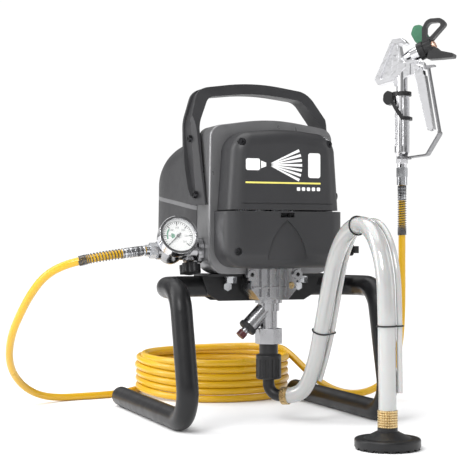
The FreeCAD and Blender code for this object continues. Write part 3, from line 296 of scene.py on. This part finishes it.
def make_materials():
    powder = Surface("frame_black", (0.010, 0.010, 0.011), 0.34).mottle(30, 0.12)
    powder.gloss(60, 0.06).grain(900, 0.05, 0.35).set(specular_ior_level=0.32)
    cover = Surface("cover_black", (0.028, 0.028, 0.030), 0.42).mottle(22, 0.06)
    cover.gloss(45, 0.05).soft_edges(0.6).grain(1600, 0.04, 0.30).set(specular_ior_level=0.42)
    bracket = Surface("bracket_black", (0.014, 0.014, 0.015), 0.45).mottle(40, 0.15)
    bracket.soft_edges(0.5).grain(1100, 0.05, 0.3).set(specular_ior_level=0.35)
    case = Surface("case_grey", (0.22, 0.22, 0.225), 0.34, 0.65).mottle(26, 0.05)
    case.gloss(70, 0.07).grain(500, 0.06, 0.22)
    trim = Surface("trim_grey", (0.17, 0.17, 0.175), 0.36, 0.3).mottle(30, 0.05)
    trim.gloss(50, 0.05).soft_edges(0.5).grain(1200, 0.03, 0.2)
    cast = Surface("cast_aluminium", (0.36, 0.36, 0.37), 0.25, 1.0).mottle(30, 0.04)
    cast.gloss(80, 0.05).soft_edges(0.5).grain(350, 0.04, 0.18)
    machined = Surface("machined_steel", (0.52, 0.52, 0.54), 0.24, 1.0).mottle(40, 0.08)
    machined.gloss(300, 0.08, (1, 1, 0.1)).soft_edges(0.4).grain(700, 0.02, 0.2, 2.0, (1, 1, 0.08))
    zinc = Surface("zinc_steel", (0.56, 0.57, 0.59), 0.24, 1.0).mottle(60, 0.08)
    zinc.gloss(100, 0.06).soft_edges(0.35)
    screw = Surface("blackened_screw", (0.07, 0.07, 0.075), 0.30, 1.0).mottle(90, 0.15)
    screw.gloss(150, 0.08).soft_edges(0.3)
    spring = Surface("spring_steel", (0.13, 0.13, 0.135), 0.26, 1.0).mottle(80, 0.2).gloss(200, 0.08)
    spring.grain(800, 0.02, 0.15)
    chrome = Surface("chrome", (0.74, 0.74, 0.76), 0.08, 1.0).mottle(50, 0.03)
    chrome.gloss(35, 0.035).soft_edges(1.3).grain(75, 0.9, 0.3)
    bead = Surface("satin_steel", (0.24, 0.24, 0.25), 0.34, 1.0).mottle(60, 0.08)
    bead.gloss(200, 0.08).soft_edges(0.3).grain(900, 0.02, 0.2)
    rubber = Surface("black_rubber", (0.018, 0.018, 0.019), 0.6).mottle(60, 0.2)
    rubber.soft_edges(0.4).grain(700, 0.06, 0.35).set(specular_ior_level=0.35)
    black = Surface("black_plastic", (0.014, 0.014, 0.015), 0.38).mottle(50, 0.15)
    black.gloss(90, 0.06).soft_edges(0.5).grain(1300, 0.04, 0.3).set(specular_ior_level=0.35)
    red = Surface("red_plastic", (0.07, 0.010, 0.012), 0.35).mottle(60, 0.15).soft_edges(0.4)
    red.grain(900, 0.03, 0.2)
    green = Surface("green_plastic", (0.030, 0.17, 0.085), 0.36).mottle(60, 0.10)
    green.gloss(80, 0.05).soft_edges(0.4).grain(1100, 0.03, 0.25)
    brass = Surface("brass", (0.62, 0.47, 0.25), 0.27, 1.0).mottle(110, 0.10)
    brass.gloss(160, 0.08).soft_edges(0.25).grain(900, 0.02, 0.2)
    rose = Surface("rose_brass", (0.78, 0.50, 0.38), 0.30, 0.85).mottle(200, 0.10)
    rose.gloss(200, 0.08).soft_edges(0.2)
    copper = Surface("copper_winding", (0.55, 0.24, 0.10), 0.35, 1.0).mottle(60, 0.15)
    copper.grain(500, 0.3, 0.5, 1.0, (1, 0.05, 1))
    Surface("dial_white", (0.88, 0.88, 0.87), 0.45).mottle(40, 0.02).grain(900, 0.01, 0.1)
    Surface("dial_ink", (0.015, 0.015, 0.016), 0.5).mottle(90, 0.2)
    Surface("dial_green", (0.02, 0.26, 0.13), 0.5).mottle(90, 0.1)
    Surface("badge_white", (0.85, 0.85, 0.85), 0.42).mottle(70, 0.03).grain(900, 0.01, 0.15)
    Surface("badge_yellow", (0.78, 0.70, 0.16), 0.42).mottle(70, 0.04).grain(900, 0.01, 0.15)
    Surface("packing_white", (0.8, 0.8, 0.78), 0.5).mottle(60, 0.04)
    lens = Surface("clear_lens", (0.95, 0.97, 0.97), 0.03).gloss(40, 0.015)
    lens.set(alpha=0.12, coat_weight=1.0)
    yellow = Surface("yellow_hose", (0.66, 0.38, 0.006), 0.32).mottle(14, 0.07)
    yellow.gloss(30, 0.06).grain(350, 0.06, 0.12).set(coat_weight=0.25, coat_roughness=0.18)
    milky_hose("clear_hose", (0.47, 0.472, 0.465), 0.85)
    milky_hose("clear_tube", (0.50, 0.50, 0.49), 0.85)


def milky_hose(name, color, density):
    """Translucent hose with a smooth skin."""
    hose = Surface(name, color, 0.16).mottle(12, 0.03)
    hose.gloss(25, 0.05).grain(120, 0.08, 0.10)
    hose.set(coat_weight=1.0, coat_roughness=0.06, coat_ior=1.75)
    hose.set(subsurface_weight=0.2, subsurface_scale=0.006)
    hose.set(transmission_weight=1 - density, ior=1.5)


make_materials()

NODE_MATERIALS = {
    "frame_black": ["frame_tube"],
    "bracket_black": ["saddle_bracket"],
    "cover_black": ["front_cover_upper", "front_cover_lower", "motor_pan", "motor_shroud", "carrying_handle"],
    "case_grey": ["gear_case"],
    "trim_grey": ["motor_trim"],
    "cast_aluminium": ["pump_block", "outlet_manifold", "motor_end_bracket", "inlet_housing"],
    "machined_steel": ["motor_field", "shaft_bearings", "crank_gear", "idler_gear", "piston_rod",
                       "outlet_ball", "inlet_ball", "pusher_stem", "gun_needle"],
    "blackened_screw": ["case_screws"],
    "zinc_steel": ["saddle_bolts", "relief_valve", "hose_fittings", "gun_diffuser"],
    "chrome": ["gauge_case", "gun_body", "gun_grip", "gun_swivel", "gun_trigger"],
    "satin_steel": ["trigger_guard"],
    "black_rubber": ["pusher_boot", "cable_gland"],
    "black_plastic": ["foot_end_caps", "suction_coupling", "suction_strainer", "pressure_knob",
                      "relief_lever", "switch_frame", "switch_rocker", "motor_brushes", "motor_fan",
                      "grip_saddle", "tip_guard"],
    "dial_ink": ["gauge_needle"],
    "red_plastic": ["pusher_button"],
    "green_plastic": ["spray_tip"],
    "brass": ["suction_collars"],
    "copper_winding": ["motor_armature"],
    "dial_white": ["gauge_dial"],
    "clear_lens": ["gauge_lens"],
    "packing_white": ["rod_packings"],
    "yellow_hose": ["hose_left_run", "hose_coil", "hose_right_run"],
    "clear_hose": ["suction_hose"],
    "clear_tube": ["return_tube"],
    "spring_steel": ["hose_guards"],
}

SMOOTH_ANGLE = math.radians(32)


def dress(piece, material):
    piece.data.materials.clear()
    piece.data.materials.append(MATERIALS[material])


def shade(piece, angle=SMOOTH_ANGLE):
    """Smooth shading that stays sharp at edges above the angle."""
    piece.data.polygons.foreach_set("use_smooth", [True] * len(piece.data.polygons))
    piece.data.set_sharp_from_angle(angle=angle)


for material_name, members in NODE_MATERIALS.items():
    for member in members:
        dress(frame["nodes"][member], material_name)
dress(pressure_hose, "yellow_hose")
dress(suction_hose, "clear_hose")
dress(return_tube, "clear_tube")

# ---------------------------------------------------------------- building blocks


def add_mesh(name, vertices, faces, material, slot, body="root", smooth_shading=True):
    mesh = bpy.data.meshes.new(name)
    mesh.from_pydata([tuple(v) for v in vertices], [], faces)
    mesh.validate()
    mesh.update()
    piece = bpy.data.objects.new(name, mesh)
    bpy.context.scene.collection.objects.link(piece)
    dress(piece, material)
    if smooth_shading:
        shade(piece)
    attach(piece, body)
    return piece


def tube_mesh(line, radius, sides=10, closed=False):
    """Vertices and faces of a round wire along a line of points in metres."""
    vertices, faces = [], []
    count = len(line)
    side = None
    for i, point in enumerate(line):
        if closed:
            forward = line[(i + 1) % count] - line[i - 1]
        else:
            forward = line[min(i + 1, count - 1)] - line[max(i - 1, 0)]
        forward.normalize()
        if side is None:
            side = forward.orthogonal().normalized()
        side = (side - forward * side.dot(forward)).normalized()
        other = forward.cross(side)
        for j in range(sides):
            a = 2 * math.pi * j / sides
            vertices.append(point + (side * math.cos(a) + other * math.sin(a)) * radius * MM)
    rings = count if closed else count - 1
    for i in range(rings):
        for j in range(sides):
            a, b = i * sides + j, i * sides + (j + 1) % sides
            c, d = (b + sides) % (count * sides), (a + sides) % (count * sides)
            faces.append((a, b, c, d))
    if not closed:
        faces.append(tuple(range(sides - 1, -1, -1)))
        faces.append(tuple(range((count - 1) * sides, count * sides)))
    return vertices, faces


def lathe_mesh(profile, base, axis, sides=48):
    """Solid of revolution; profile is a closed list of (distance along the axis, radius), in millimetres."""
    axis = axis.normalized()
    side = axis.orthogonal().normalized()
    other = axis.cross(side)
    vertices, faces = [], []
    for i in range(sides):
        a = 2 * math.pi * i / sides
        out = side * math.cos(a) + other * math.sin(a)
        for along, radius in profile:
            vertices.append(base + axis * along * MM + out * radius * MM)
    count = len(profile)
    for i in range(sides):
        here, beside = i * count, (i + 1) % sides * count
        for j in range(count):
            k = (j + 1) % count
            faces.append((here + j, here + k, beside + k, beside + j))
    return vertices, faces


def prism_mesh(outline, origin, right, up, out, thickness):
    """Flat shape drawn with (right, up) in millimetres, raised along out."""
    count = len(outline)
    vertices = []
    for level in (0, thickness):
        for x, z in outline:
            vertices.append(origin + (right * x + up * z + out * level) * MM)
    faces = [tuple(range(count - 1, -1, -1)), tuple(range(count, 2 * count))]
    for i in range(count):
        j = (i + 1) % count
        faces.append((i, j, count + j, count + i))
    return vertices, faces


def join_meshes(parts):
    vertices, faces = [], []
    for v, f in parts:
        start = len(vertices)
        vertices += v
        faces += [tuple(i + start for i in face) for face in f]
    return vertices, faces


WIRE = 1.3                # thickness of the spring guards' wire
CLOSED_PITCH = WIRE * 1.15


def distances(line):
    """Distance of each point along its line, in millimetres."""
    lengths = [0.0]
    for a, b in zip(line, line[1:]):
        lengths.append(lengths[-1] + (b - a).length / MM)
    return lengths


def stretch_of(line, start, end):
    """Part of a line between two distances along it, in millimetres, at even steps."""
    lengths = distances(line)
    if start < 0:
        start, end = lengths[-1] + start, lengths[-1] + end
    steps = max(2, int((end - start) / 2))
    result = []
    k = 0
    for i in range(steps + 1):
        want = start + (end - start) * i / steps
        while k < len(lengths) - 2 and lengths[k + 1] < want:
            k += 1
        share = (want - lengths[k]) / (lengths[k + 1] - lengths[k])
        result.append(line[k].lerp(line[k + 1], share))
    return result


def helix_round(line, radius, pitch, tight=12.0, per_turn=14):
    """Wire wound round a line: closed up over the last millimetres at each end, open between."""
    lengths = distances(line)
    total = lengths[-1]
    result = []
    along, angle, k = 0.0, 0.0, 0
    side = (line[1] - line[0]).orthogonal().normalized()
    while along < total:
        while k < len(lengths) - 2 and lengths[k + 1] < along:
            k += 1
        share = (along - lengths[k]) / (lengths[k + 1] - lengths[k])
        centre = line[k].lerp(line[k + 1], share)
        forward = (line[k + 1] - line[k]).normalized()
        side = (side - forward * side.dot(forward)).normalized()
        other = forward.cross(side)
        result.append(centre + (side * math.cos(angle) + other * math.sin(angle)) * radius * MM)
        from_end = min(along, total - along)
        local = CLOSED_PITCH + (pitch - CLOSED_PITCH) * smooth((from_end - tight * 0.6) / tight)
        along += local / per_turn
        angle += 2 * math.pi / per_turn
    return result


# ---------------------------------------------------------------- pressure hose fittings


def spring_guard(name, line, pitch):
    wire = helix_round(line, HOSE_D / 2 + WIRE / 2 + 0.25, pitch)
    return add_mesh(name, *tube_mesh(wire, WIRE / 2, 8), "spring_steel", "zinc_steel")


def ferrule(name, line):
    """Crimped sleeve round the hose's end, with pressed rings."""
    axis = line[-1] - line[0]
    length = axis.length / MM
    profile = [(0, 5.05), (0, 6.2)]
    rings = 5
    for i in range(rings):
        z = length * (i + 0.5) / rings
        profile += [(z - 1.7, 6.3), (z - 1.0, 5.7), (z + 1.0, 5.7), (z + 1.7, 6.3)]
    profile += [(length, 6.2), (length, 5.05)]
    return add_mesh(name, *lathe_mesh(profile, line[0], axis), "zinc_steel", "zinc_steel")


pump_guard = spring_guard("spring_guard_pump_end", stretch_of(PRESSURE_LINE, 4, 84), 3.9)
gun_guard = spring_guard("spring_guard_gun_end", stretch_of(PRESSURE_LINE, -72, -1), 3.4)
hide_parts("hose_guards")
pump_ferrule = ferrule("pump_end_ferrule", stretch_of(PRESSURE_LINE, 1, 30))
gun_ferrule = ferrule("gun_end_ferrule", stretch_of(PRESSURE_LINE, -22, -1))

# ---------------------------------------------------------------- suction set

RING_PLACES = (0.205, 0.515, 0.797)    # shares of the suction hose's length that the ring clips hold
RING_WIRE = 0.9
COLLAR_R = 10.9
COLLAR_BORE = 9.82


def ring_clip(name, share):
    """Rubber ring round the suction hose and the return tube, as a tight band round two circles."""
    total = line_length(SUCTION_LINE) / MM
    near = stretch_of(SUCTION_LINE, total * share, total * share + 2)
    centre, forward = near[0], (near[1] - near[0]).normalized()
    other = min(RETURN_LINE, key=lambda p: (p - centre).length)
    across = other - centre
    across -= forward * across.dot(forward)
    gap = across.length / MM
    right = across.normalized()
    up = forward.cross(right)
    big, small = SUCTION_D / 2 + RING_WIRE, RETURN_D / 2 + RING_WIRE
    lean = math.acos((big - small) / gap)
    line = []
    for i in range(25):
        a = lean + (2 * math.pi - 2 * lean) * i / 24
        line.append(centre + (right * math.cos(a) + up * math.sin(a)) * big * MM)
    for i in range(13):
        a = -lean + 2 * lean * i / 12
        line.append(centre + (right * (gap + small * math.cos(a)) + up * small * math.sin(a)) * MM)
    return add_mesh(name, *tube_mesh(line, RING_WIRE, 8, closed=True), "black_rubber", "black_rubber")


def knurled_collar(name, base, axis, length, radius, bore):
    """Brass collar with a square-cut knurl: rings and flutes cross each other."""
    sides, rings = 96, 7
    axis = axis.normalized()
    side = axis.orthogonal().normalized()
    other = axis.cross(side)
    levels = [(0.0, radius - 0.9)]
    for i in range(rings):
        z = length * (i + 0.5) / rings
        half = length / rings / 2
        levels += [(z - half * 0.95, radius - 0.75), (z - half * 0.6, radius), (z + half * 0.6, radius),
                   (z + half * 0.95, radius - 0.75)]
    levels.append((length, radius - 0.9))
    profile = [(0.0, bore)] + levels + [(length, bore)]
    vertices, faces = [], []
    for i in range(sides):
        a = 2 * math.pi * i / sides
        out = side * math.cos(a) + other * math.sin(a)
        groove = 0.7 if i % 4 == 0 else 0.0
        for along, r in profile:
            cut = groove if r > bore + 0.1 else 0.0
            vertices.append(base + axis * along * MM + out * (r - cut) * MM)
    count = len(profile)
    for i in range(sides):
        here, beside = i * count, (i + 1) % sides * count
        for j in range(count):
            k = (j + 1) % count
            faces.append((here + j, here + k, beside + k, beside + j))
    return add_mesh(name, vertices, faces, "brass", "brass")


clips = [ring_clip("ring_clip_%d" % (i + 1), share) for i, share in enumerate(RING_PLACES)]
foot_collar = knurled_collar("strainer_collar", place(*SUCTION_ROUTE[-1]), UP, 19.0, COLLAR_R, COLLAR_BORE)
start = Vector(SUCTION_ROUTE[0])
out_of_elbow = (Vector(SUCTION_ROUTE[1]) - start).normalized()
elbow_end = place(*(start - out_of_elbow * 2.0))
elbow_collar = knurled_collar("elbow_collar", elbow_end, out_of_elbow, 9.0, COLLAR_R, COLLAR_BORE)
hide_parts("suction_collars")

# ---------------------------------------------------------------- gauge markings

GAUGE_TILT = math.radians(20)
DIAL_HALF = 0.5           # half of the dial's thickness
DIAL_OUT = Vector((0, -math.cos(GAUGE_TILT), math.sin(GAUGE_TILT)))
DIAL_UP = Vector((0, math.sin(GAUGE_TILT), math.cos(GAUGE_TILT)))
low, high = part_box("gauge_dial")
DIAL = (low + high) / 2 + DIAL_OUT * DIAL_HALF * MM
ZERO_ANGLE = 222.0
SWEEP = 264.0
TICK_OUTER_R = 18.4
LONG_TICK = (13.8, 2.6)   # inner radius in millimetres, half width in degrees
SHORT_TICK = (16.0, 1.1)
NUMBER_R = 10.8


def dial_arc(r0, r1, start_deg, end_deg, thickness=0.08):
    count = max(6, int(abs(end_deg - start_deg) / 4))
    outline = []
    for i in range(count + 1):
        a = math.radians(start_deg + (end_deg - start_deg) * i / count)
        outline.append((r1 * math.cos(a), r1 * math.sin(a)))
    for i in range(count, -1, -1):
        a = math.radians(start_deg + (end_deg - start_deg) * i / count)
        outline.append((r0 * math.cos(a), r0 * math.sin(a)))
    return prism_mesh(outline, DIAL, RIGHT, DIAL_UP, DIAL_OUT, thickness)


def dial_number(index):
    a = math.radians(ZERO_ANGLE - SWEEP * index / 6)
    text = bpy.data.curves.new("dial_number_%d" % index, "FONT")
    text.body = str(50 * index)
    text.size = 3.4 * MM
    text.extrude = 0.04 * MM
    text.align_x = "CENTER"
    text.align_y = "CENTER"
    number = bpy.data.objects.new("dial_number_%d" % index, text)
    centre = DIAL + (RIGHT * math.cos(a) + DIAL_UP * math.sin(a)) * NUMBER_R * MM + DIAL_OUT * 0.05 * MM
    turn = Matrix((RIGHT, DIAL_UP, DIAL_OUT)).transposed().to_4x4()
    number.matrix_world = Matrix.Translation(centre) @ turn
    bpy.context.scene.collection.objects.link(number)
    dress(number, "dial_ink")
    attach(number, "root")


def dial_marks():
    """Long ticks with numbers, short ticks between, a thin rim line and the green working zone."""
    parts = []
    for i in range(31):
        a = ZERO_ANGLE - SWEEP * i / 30
        inner, half = LONG_TICK if i % 5 == 0 else SHORT_TICK
        parts.append(dial_arc(inner, TICK_OUTER_R, a - half, a + half))
    parts.append(dial_arc(18.7, 19.2, ZERO_ANGLE, ZERO_ANGLE - SWEEP))
    add_mesh("dial_ticks", *join_meshes(parts), "dial_ink", "dial_white", smooth_shading=False)
    green = [dial_arc(12.6, 14.6, 196, 138), dial_arc(4.0, 8.6, 200, 152)]
    add_mesh("dial_green_zone", *join_meshes(green), "dial_green", "green_plastic", smooth_shading=False)
    for i in range(7):
        dial_number(i)


dial_marks()

# ---------------------------------------------------------------- badge on the upper cover

BADGE_THICK = 0.18
BADGE_MIDDLE = 316.0      # height of the picture's middle line
RULE = (293.4, 295.4)     # lower and upper edge of the yellow rule
DOTS = (285.2, 289.6)     # lower and upper edge of the row of small squares
DOT_STEP = 6.6
DOT_WIDTH = 4.4
FAN_RAYS = 7
FAN_STEP = 8.0            # degrees between rays


def on_face(outline):
    low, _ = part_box("front_cover_upper")
    origin = place(0, 0, 0)
    origin.y = low.y
    return prism_mesh(outline, origin, RIGHT, UP, FACE_OUT, BADGE_THICK)


def rounded(x0, x1, z0, z1, r, steps=5):
    outline = []
    corners = ((x1 - r, z1 - r, 0), (x0 + r, z1 - r, 90), (x0 + r, z0 + r, 180), (x1 - r, z0 + r, 270))
    for cx, cz, first in corners:
        for i in range(steps + 1):
            a = math.radians(first + 90 * i / steps)
            outline.append((cx + r * math.cos(a), cz + r * math.sin(a)))
    return outline


def badge():
    """Generic spray-fan picture over a yellow rule."""
    middle = BADGE_MIDDLE
    parts = [
        on_face(rounded(-54, -36, middle - 7, middle + 7, 2.5)),
        on_face([(-34.5, middle - 4.5), (-28, middle - 2.2), (-28, middle + 2.2), (-34.5, middle + 4.5)]),
    ]
    apex = Vector((-25, middle))
    for i in range(FAN_RAYS):
        a = math.radians(FAN_STEP * (i - (FAN_RAYS - 1) / 2))
        along = Vector((math.cos(a), math.sin(a)))
        across = Vector((-along.y, along.x))
        near, far = apex + along * 4, apex + along * 44
        ray = [near - across * 0.5, far - across * 1.7, far + across * 1.7, near + across * 0.5]
        parts.append(on_face([tuple(corner) for corner in ray]))
    parts.append(on_face(rounded(27, 43, middle - 15, middle + 15, 3)))
    for i in range(5):
        x = 12 + DOT_STEP * i
        parts.append(on_face(rounded(x, x + DOT_WIDTH, *DOTS, 1.2)))
    add_mesh("badge_picture", *join_meshes(parts), "badge_white", "dial_white", smooth_shading=False)
    line = on_face(rounded(-54.5, 43.5, *RULE, 0.6))
    add_mesh("badge_rule", *line, "badge_yellow", "yellow_hose", smooth_shading=False)


badge()

# ---------------------------------------------------------------- spray gun details

GUN = (272, 154)
GUN_TURN = math.radians(-46)
BARREL_FROM = (-6, 483)   # where the barrel's axis starts: forward of the grip, and up
BARREL_RISE = math.radians(22)
NOZZLE_ALONG = 54.6       # distance of the guard's mouth along the barrel


def gun_direction(a, t, z):
    """Direction in the gun's own frame: a forward, t across, z up."""
    cos, sin = math.cos(GUN_TURN), math.sin(GUN_TURN)
    return Vector((a * cos - t * sin, a * sin + t * cos, z))


def gun_place(a, t, z):
    return place(GUN[0], GUN[1], 0) + gun_direction(a, t, z) * MM


def barrel_place(along):
    a, z = BARREL_FROM
    return gun_place(a + along * math.cos(BARREL_RISE), 0, z + along * math.sin(BARREL_RISE))


BARREL_AXIS = gun_direction(math.cos(BARREL_RISE), 0, math.sin(BARREL_RISE))


def nozzle():
    """Brass seat in the guard's mouth, with a black fill in its bore that is painted shade for the tip's
    opening.
    """
    profile = [(0.0, 2.6), (0.0, 6.8), (2.6, 7.2), (4.4, 6.6), (5.6, 4.6), (4.8, 3.4), (0.6, 2.6)]
    seat = lathe_mesh(profile, barrel_place(NOZZLE_ALONG), BARREL_AXIS, 40)
    add_mesh("nozzle_seat", *seat, "rose_brass", "brass", "gun")
    # Black solid filling the seat's bore: painted shade standing for the dark opening of the tip, not a dark
    # part.
    orifice_shade_profile = [(0.0, 0.3), (0.0, 3.0), (5.0, 3.3), (4.4, 0.3)]
    hole_shade = lathe_mesh(orifice_shade_profile, barrel_place(NOZZLE_ALONG), BARREL_AXIS, 24)
    add_mesh("nozzle_hole_painted_shade", *hole_shade, "black_plastic", "black_plastic", "gun")


nozzle()


def mouth_rim():
    """Small raised rim round the tip guard's mouth."""
    profile = [(-2.0, 10.4), (-2.0, 11.3), (0.9, 11.3), (1.4, 10.8), (1.4, 8.6), (0.4, 8.2), (0.4, 10.4)]
    ring = lathe_mesh(profile, barrel_place(NOZZLE_ALONG), BARREL_AXIS)
    add_mesh("guard_mouth_rim", *ring, "black_plastic", "black_plastic", "gun")


mouth_rim()

# ---------------------------------------------------------------- small brass plug in the fluid section


PLUG_AT = (22, -18, 170)


def fluid_plug():
    profile = [(-1.0, 0.4), (-1.0, 4.4), (2.6, 4.4), (3.2, 3.8), (3.2, 2.0), (2.2, 1.6), (2.2, 0.4)]
    plug = lathe_mesh(profile, place(*PLUG_AT), FACE_OUT, 32)
    add_mesh("fluid_plug", *plug, "brass", "brass")


fluid_plug()

# ---------------------------------------------------------------- floor, light and world


def make_floor():
    size = 30.0
    mesh = bpy.data.meshes.new("floor")
    corners = [(-size, -size, 0), (size, -size, 0), (size, size, 0), (-size, size, 0)]
    mesh.from_pydata(corners, [], [(0, 1, 2, 3)])
    floor = bpy.data.objects.new("floor", mesh)
    bpy.context.scene.collection.objects.link(floor)
    paper = Surface("pale_floor", (0.885, 0.885, 0.89), 0.7).mottle(1.5, 0.01).set(specular_ior_level=0.0)
    floor.data.materials.append(paper.material)


def soft_light(name, at, aim, size, power, tint=(1, 1, 1)):
    data = bpy.data.lights.new(name, "AREA")
    data.shape = "RECTANGLE"
    data.size, data.size_y = size
    data.energy = power
    data.color = tint
    light = bpy.data.objects.new(name, data)
    light.location = place(*at)
    toward = place(*aim) - light.location
    light.rotation_euler = toward.to_track_quat("-Z", "Y").to_euler()
    bpy.context.scene.collection.objects.link(light)


def spread_of(tree, value, stops):
    """Colour ramp over a direction's -1 to 1."""
    remap = tree.nodes.new("ShaderNodeMapRange")
    remap.inputs["From Min"].default_value = -1.0
    tree.links.new(value, remap.inputs["Value"])
    ramp = tree.nodes.new("ShaderNodeValToRGB")
    ramp.color_ramp.elements[0].position = stops[0][0]
    ramp.color_ramp.elements[1].position = stops[-1][0]
    for position, _ in stops[1:-1]:
        ramp.color_ramp.elements.new(position)
    for element, (_, grey) in zip(ramp.color_ramp.elements, stops):
        element.color = (grey, grey, grey, 1)
    tree.links.new(remap.outputs["Result"], ramp.inputs["Fac"])
    return ramp.outputs["Color"]


# Grey tones at shares of the way from one side to the other, or from below to above.
CARDS_ACROSS = [(0.0, 1.2), (0.09, 1.1), (0.20, 0.22), (0.36, 0.30), (0.46, 0.95), (0.58, 0.35), (0.74, 0.10),
                (0.88, 0.85)]
CARDS_UP = [(0.0, 0.9), (0.50, 0.84), (0.572, 0.84), (0.605, 0.22), (0.70, 0.9), (0.85, 0.45), (1.0, 0.9)]
SIDE_LIGHT = [(0.0, 1.25), (0.35, 1.0), (0.6, 0.62), (1.0, 0.45)]


def make_world():
    """White studio air. Polished metal sees darker cards standing in it, so that it has contrast."""
    world = bpy.data.worlds.new("studio")
    bpy.context.scene.world = world
    world.use_nodes = True
    tree = world.node_tree
    back = tree.nodes["Background"]
    coords = tree.nodes.new("ShaderNodeTexCoord")
    split = tree.nodes.new("ShaderNodeSeparateXYZ")
    tree.links.new(coords.outputs["Generated"], split.inputs["Vector"])
    across = spread_of(tree, split.outputs["X"], CARDS_ACROSS)
    height = spread_of(tree, split.outputs["Z"], CARDS_UP)
    cards = tree.nodes.new("ShaderNodeMix")
    cards.data_type = "RGBA"
    cards.blend_type = "MULTIPLY"
    cards.inputs["Factor"].default_value = 1.0
    tree.links.new(across, cards.inputs["A"])
    tree.links.new(height, cards.inputs["B"])
    side = spread_of(tree, split.outputs["X"], SIDE_LIGHT)
    path = tree.nodes.new("ShaderNodeLightPath")
    air = (1, 1, 1, 1)
    for ray, tone in (("Is Diffuse Ray", side), ("Is Glossy Ray", cards.outputs["Result"])):
        mix = tree.nodes.new("ShaderNodeMix")
        mix.data_type = "RGBA"
        tree.links.new(path.outputs[ray], mix.inputs["Factor"])
        if isinstance(air, tuple):
            mix.inputs["A"].default_value = air
        else:
            tree.links.new(air, mix.inputs["A"])
        tree.links.new(tone, mix.inputs["B"])
        air = mix.outputs["Result"]
    tree.links.new(air, back.inputs["Color"])
    back.inputs["Strength"].default_value = 1.03


def overhead(strength, spread):
    """Very soft light from above, which keeps the floor white and leaves a faint shadow."""
    data = bpy.data.lights.new("overhead", "SUN")
    data.energy = strength
    data.angle = math.radians(spread)
    light = bpy.data.objects.new("overhead", data)
    light.rotation_euler = (math.radians(-14), math.radians(-10), 0)
    bpy.context.scene.collection.objects.link(light)


make_floor()
make_world()
overhead(1.35, 60)
soft_light("key", (-1100, -1100, 1300), (0, 0, 230), (0.7, 0.7), 16)
soft_light("fill", (1500, -900, 900), (60, 0, 200), (0.5, 1.4), 4)
soft_light("rim", (-1300, 500, 800), (0, 60, 260), (0.5, 1.2), 9)
bpy.context.scene.view_settings.view_transform = "Standard"
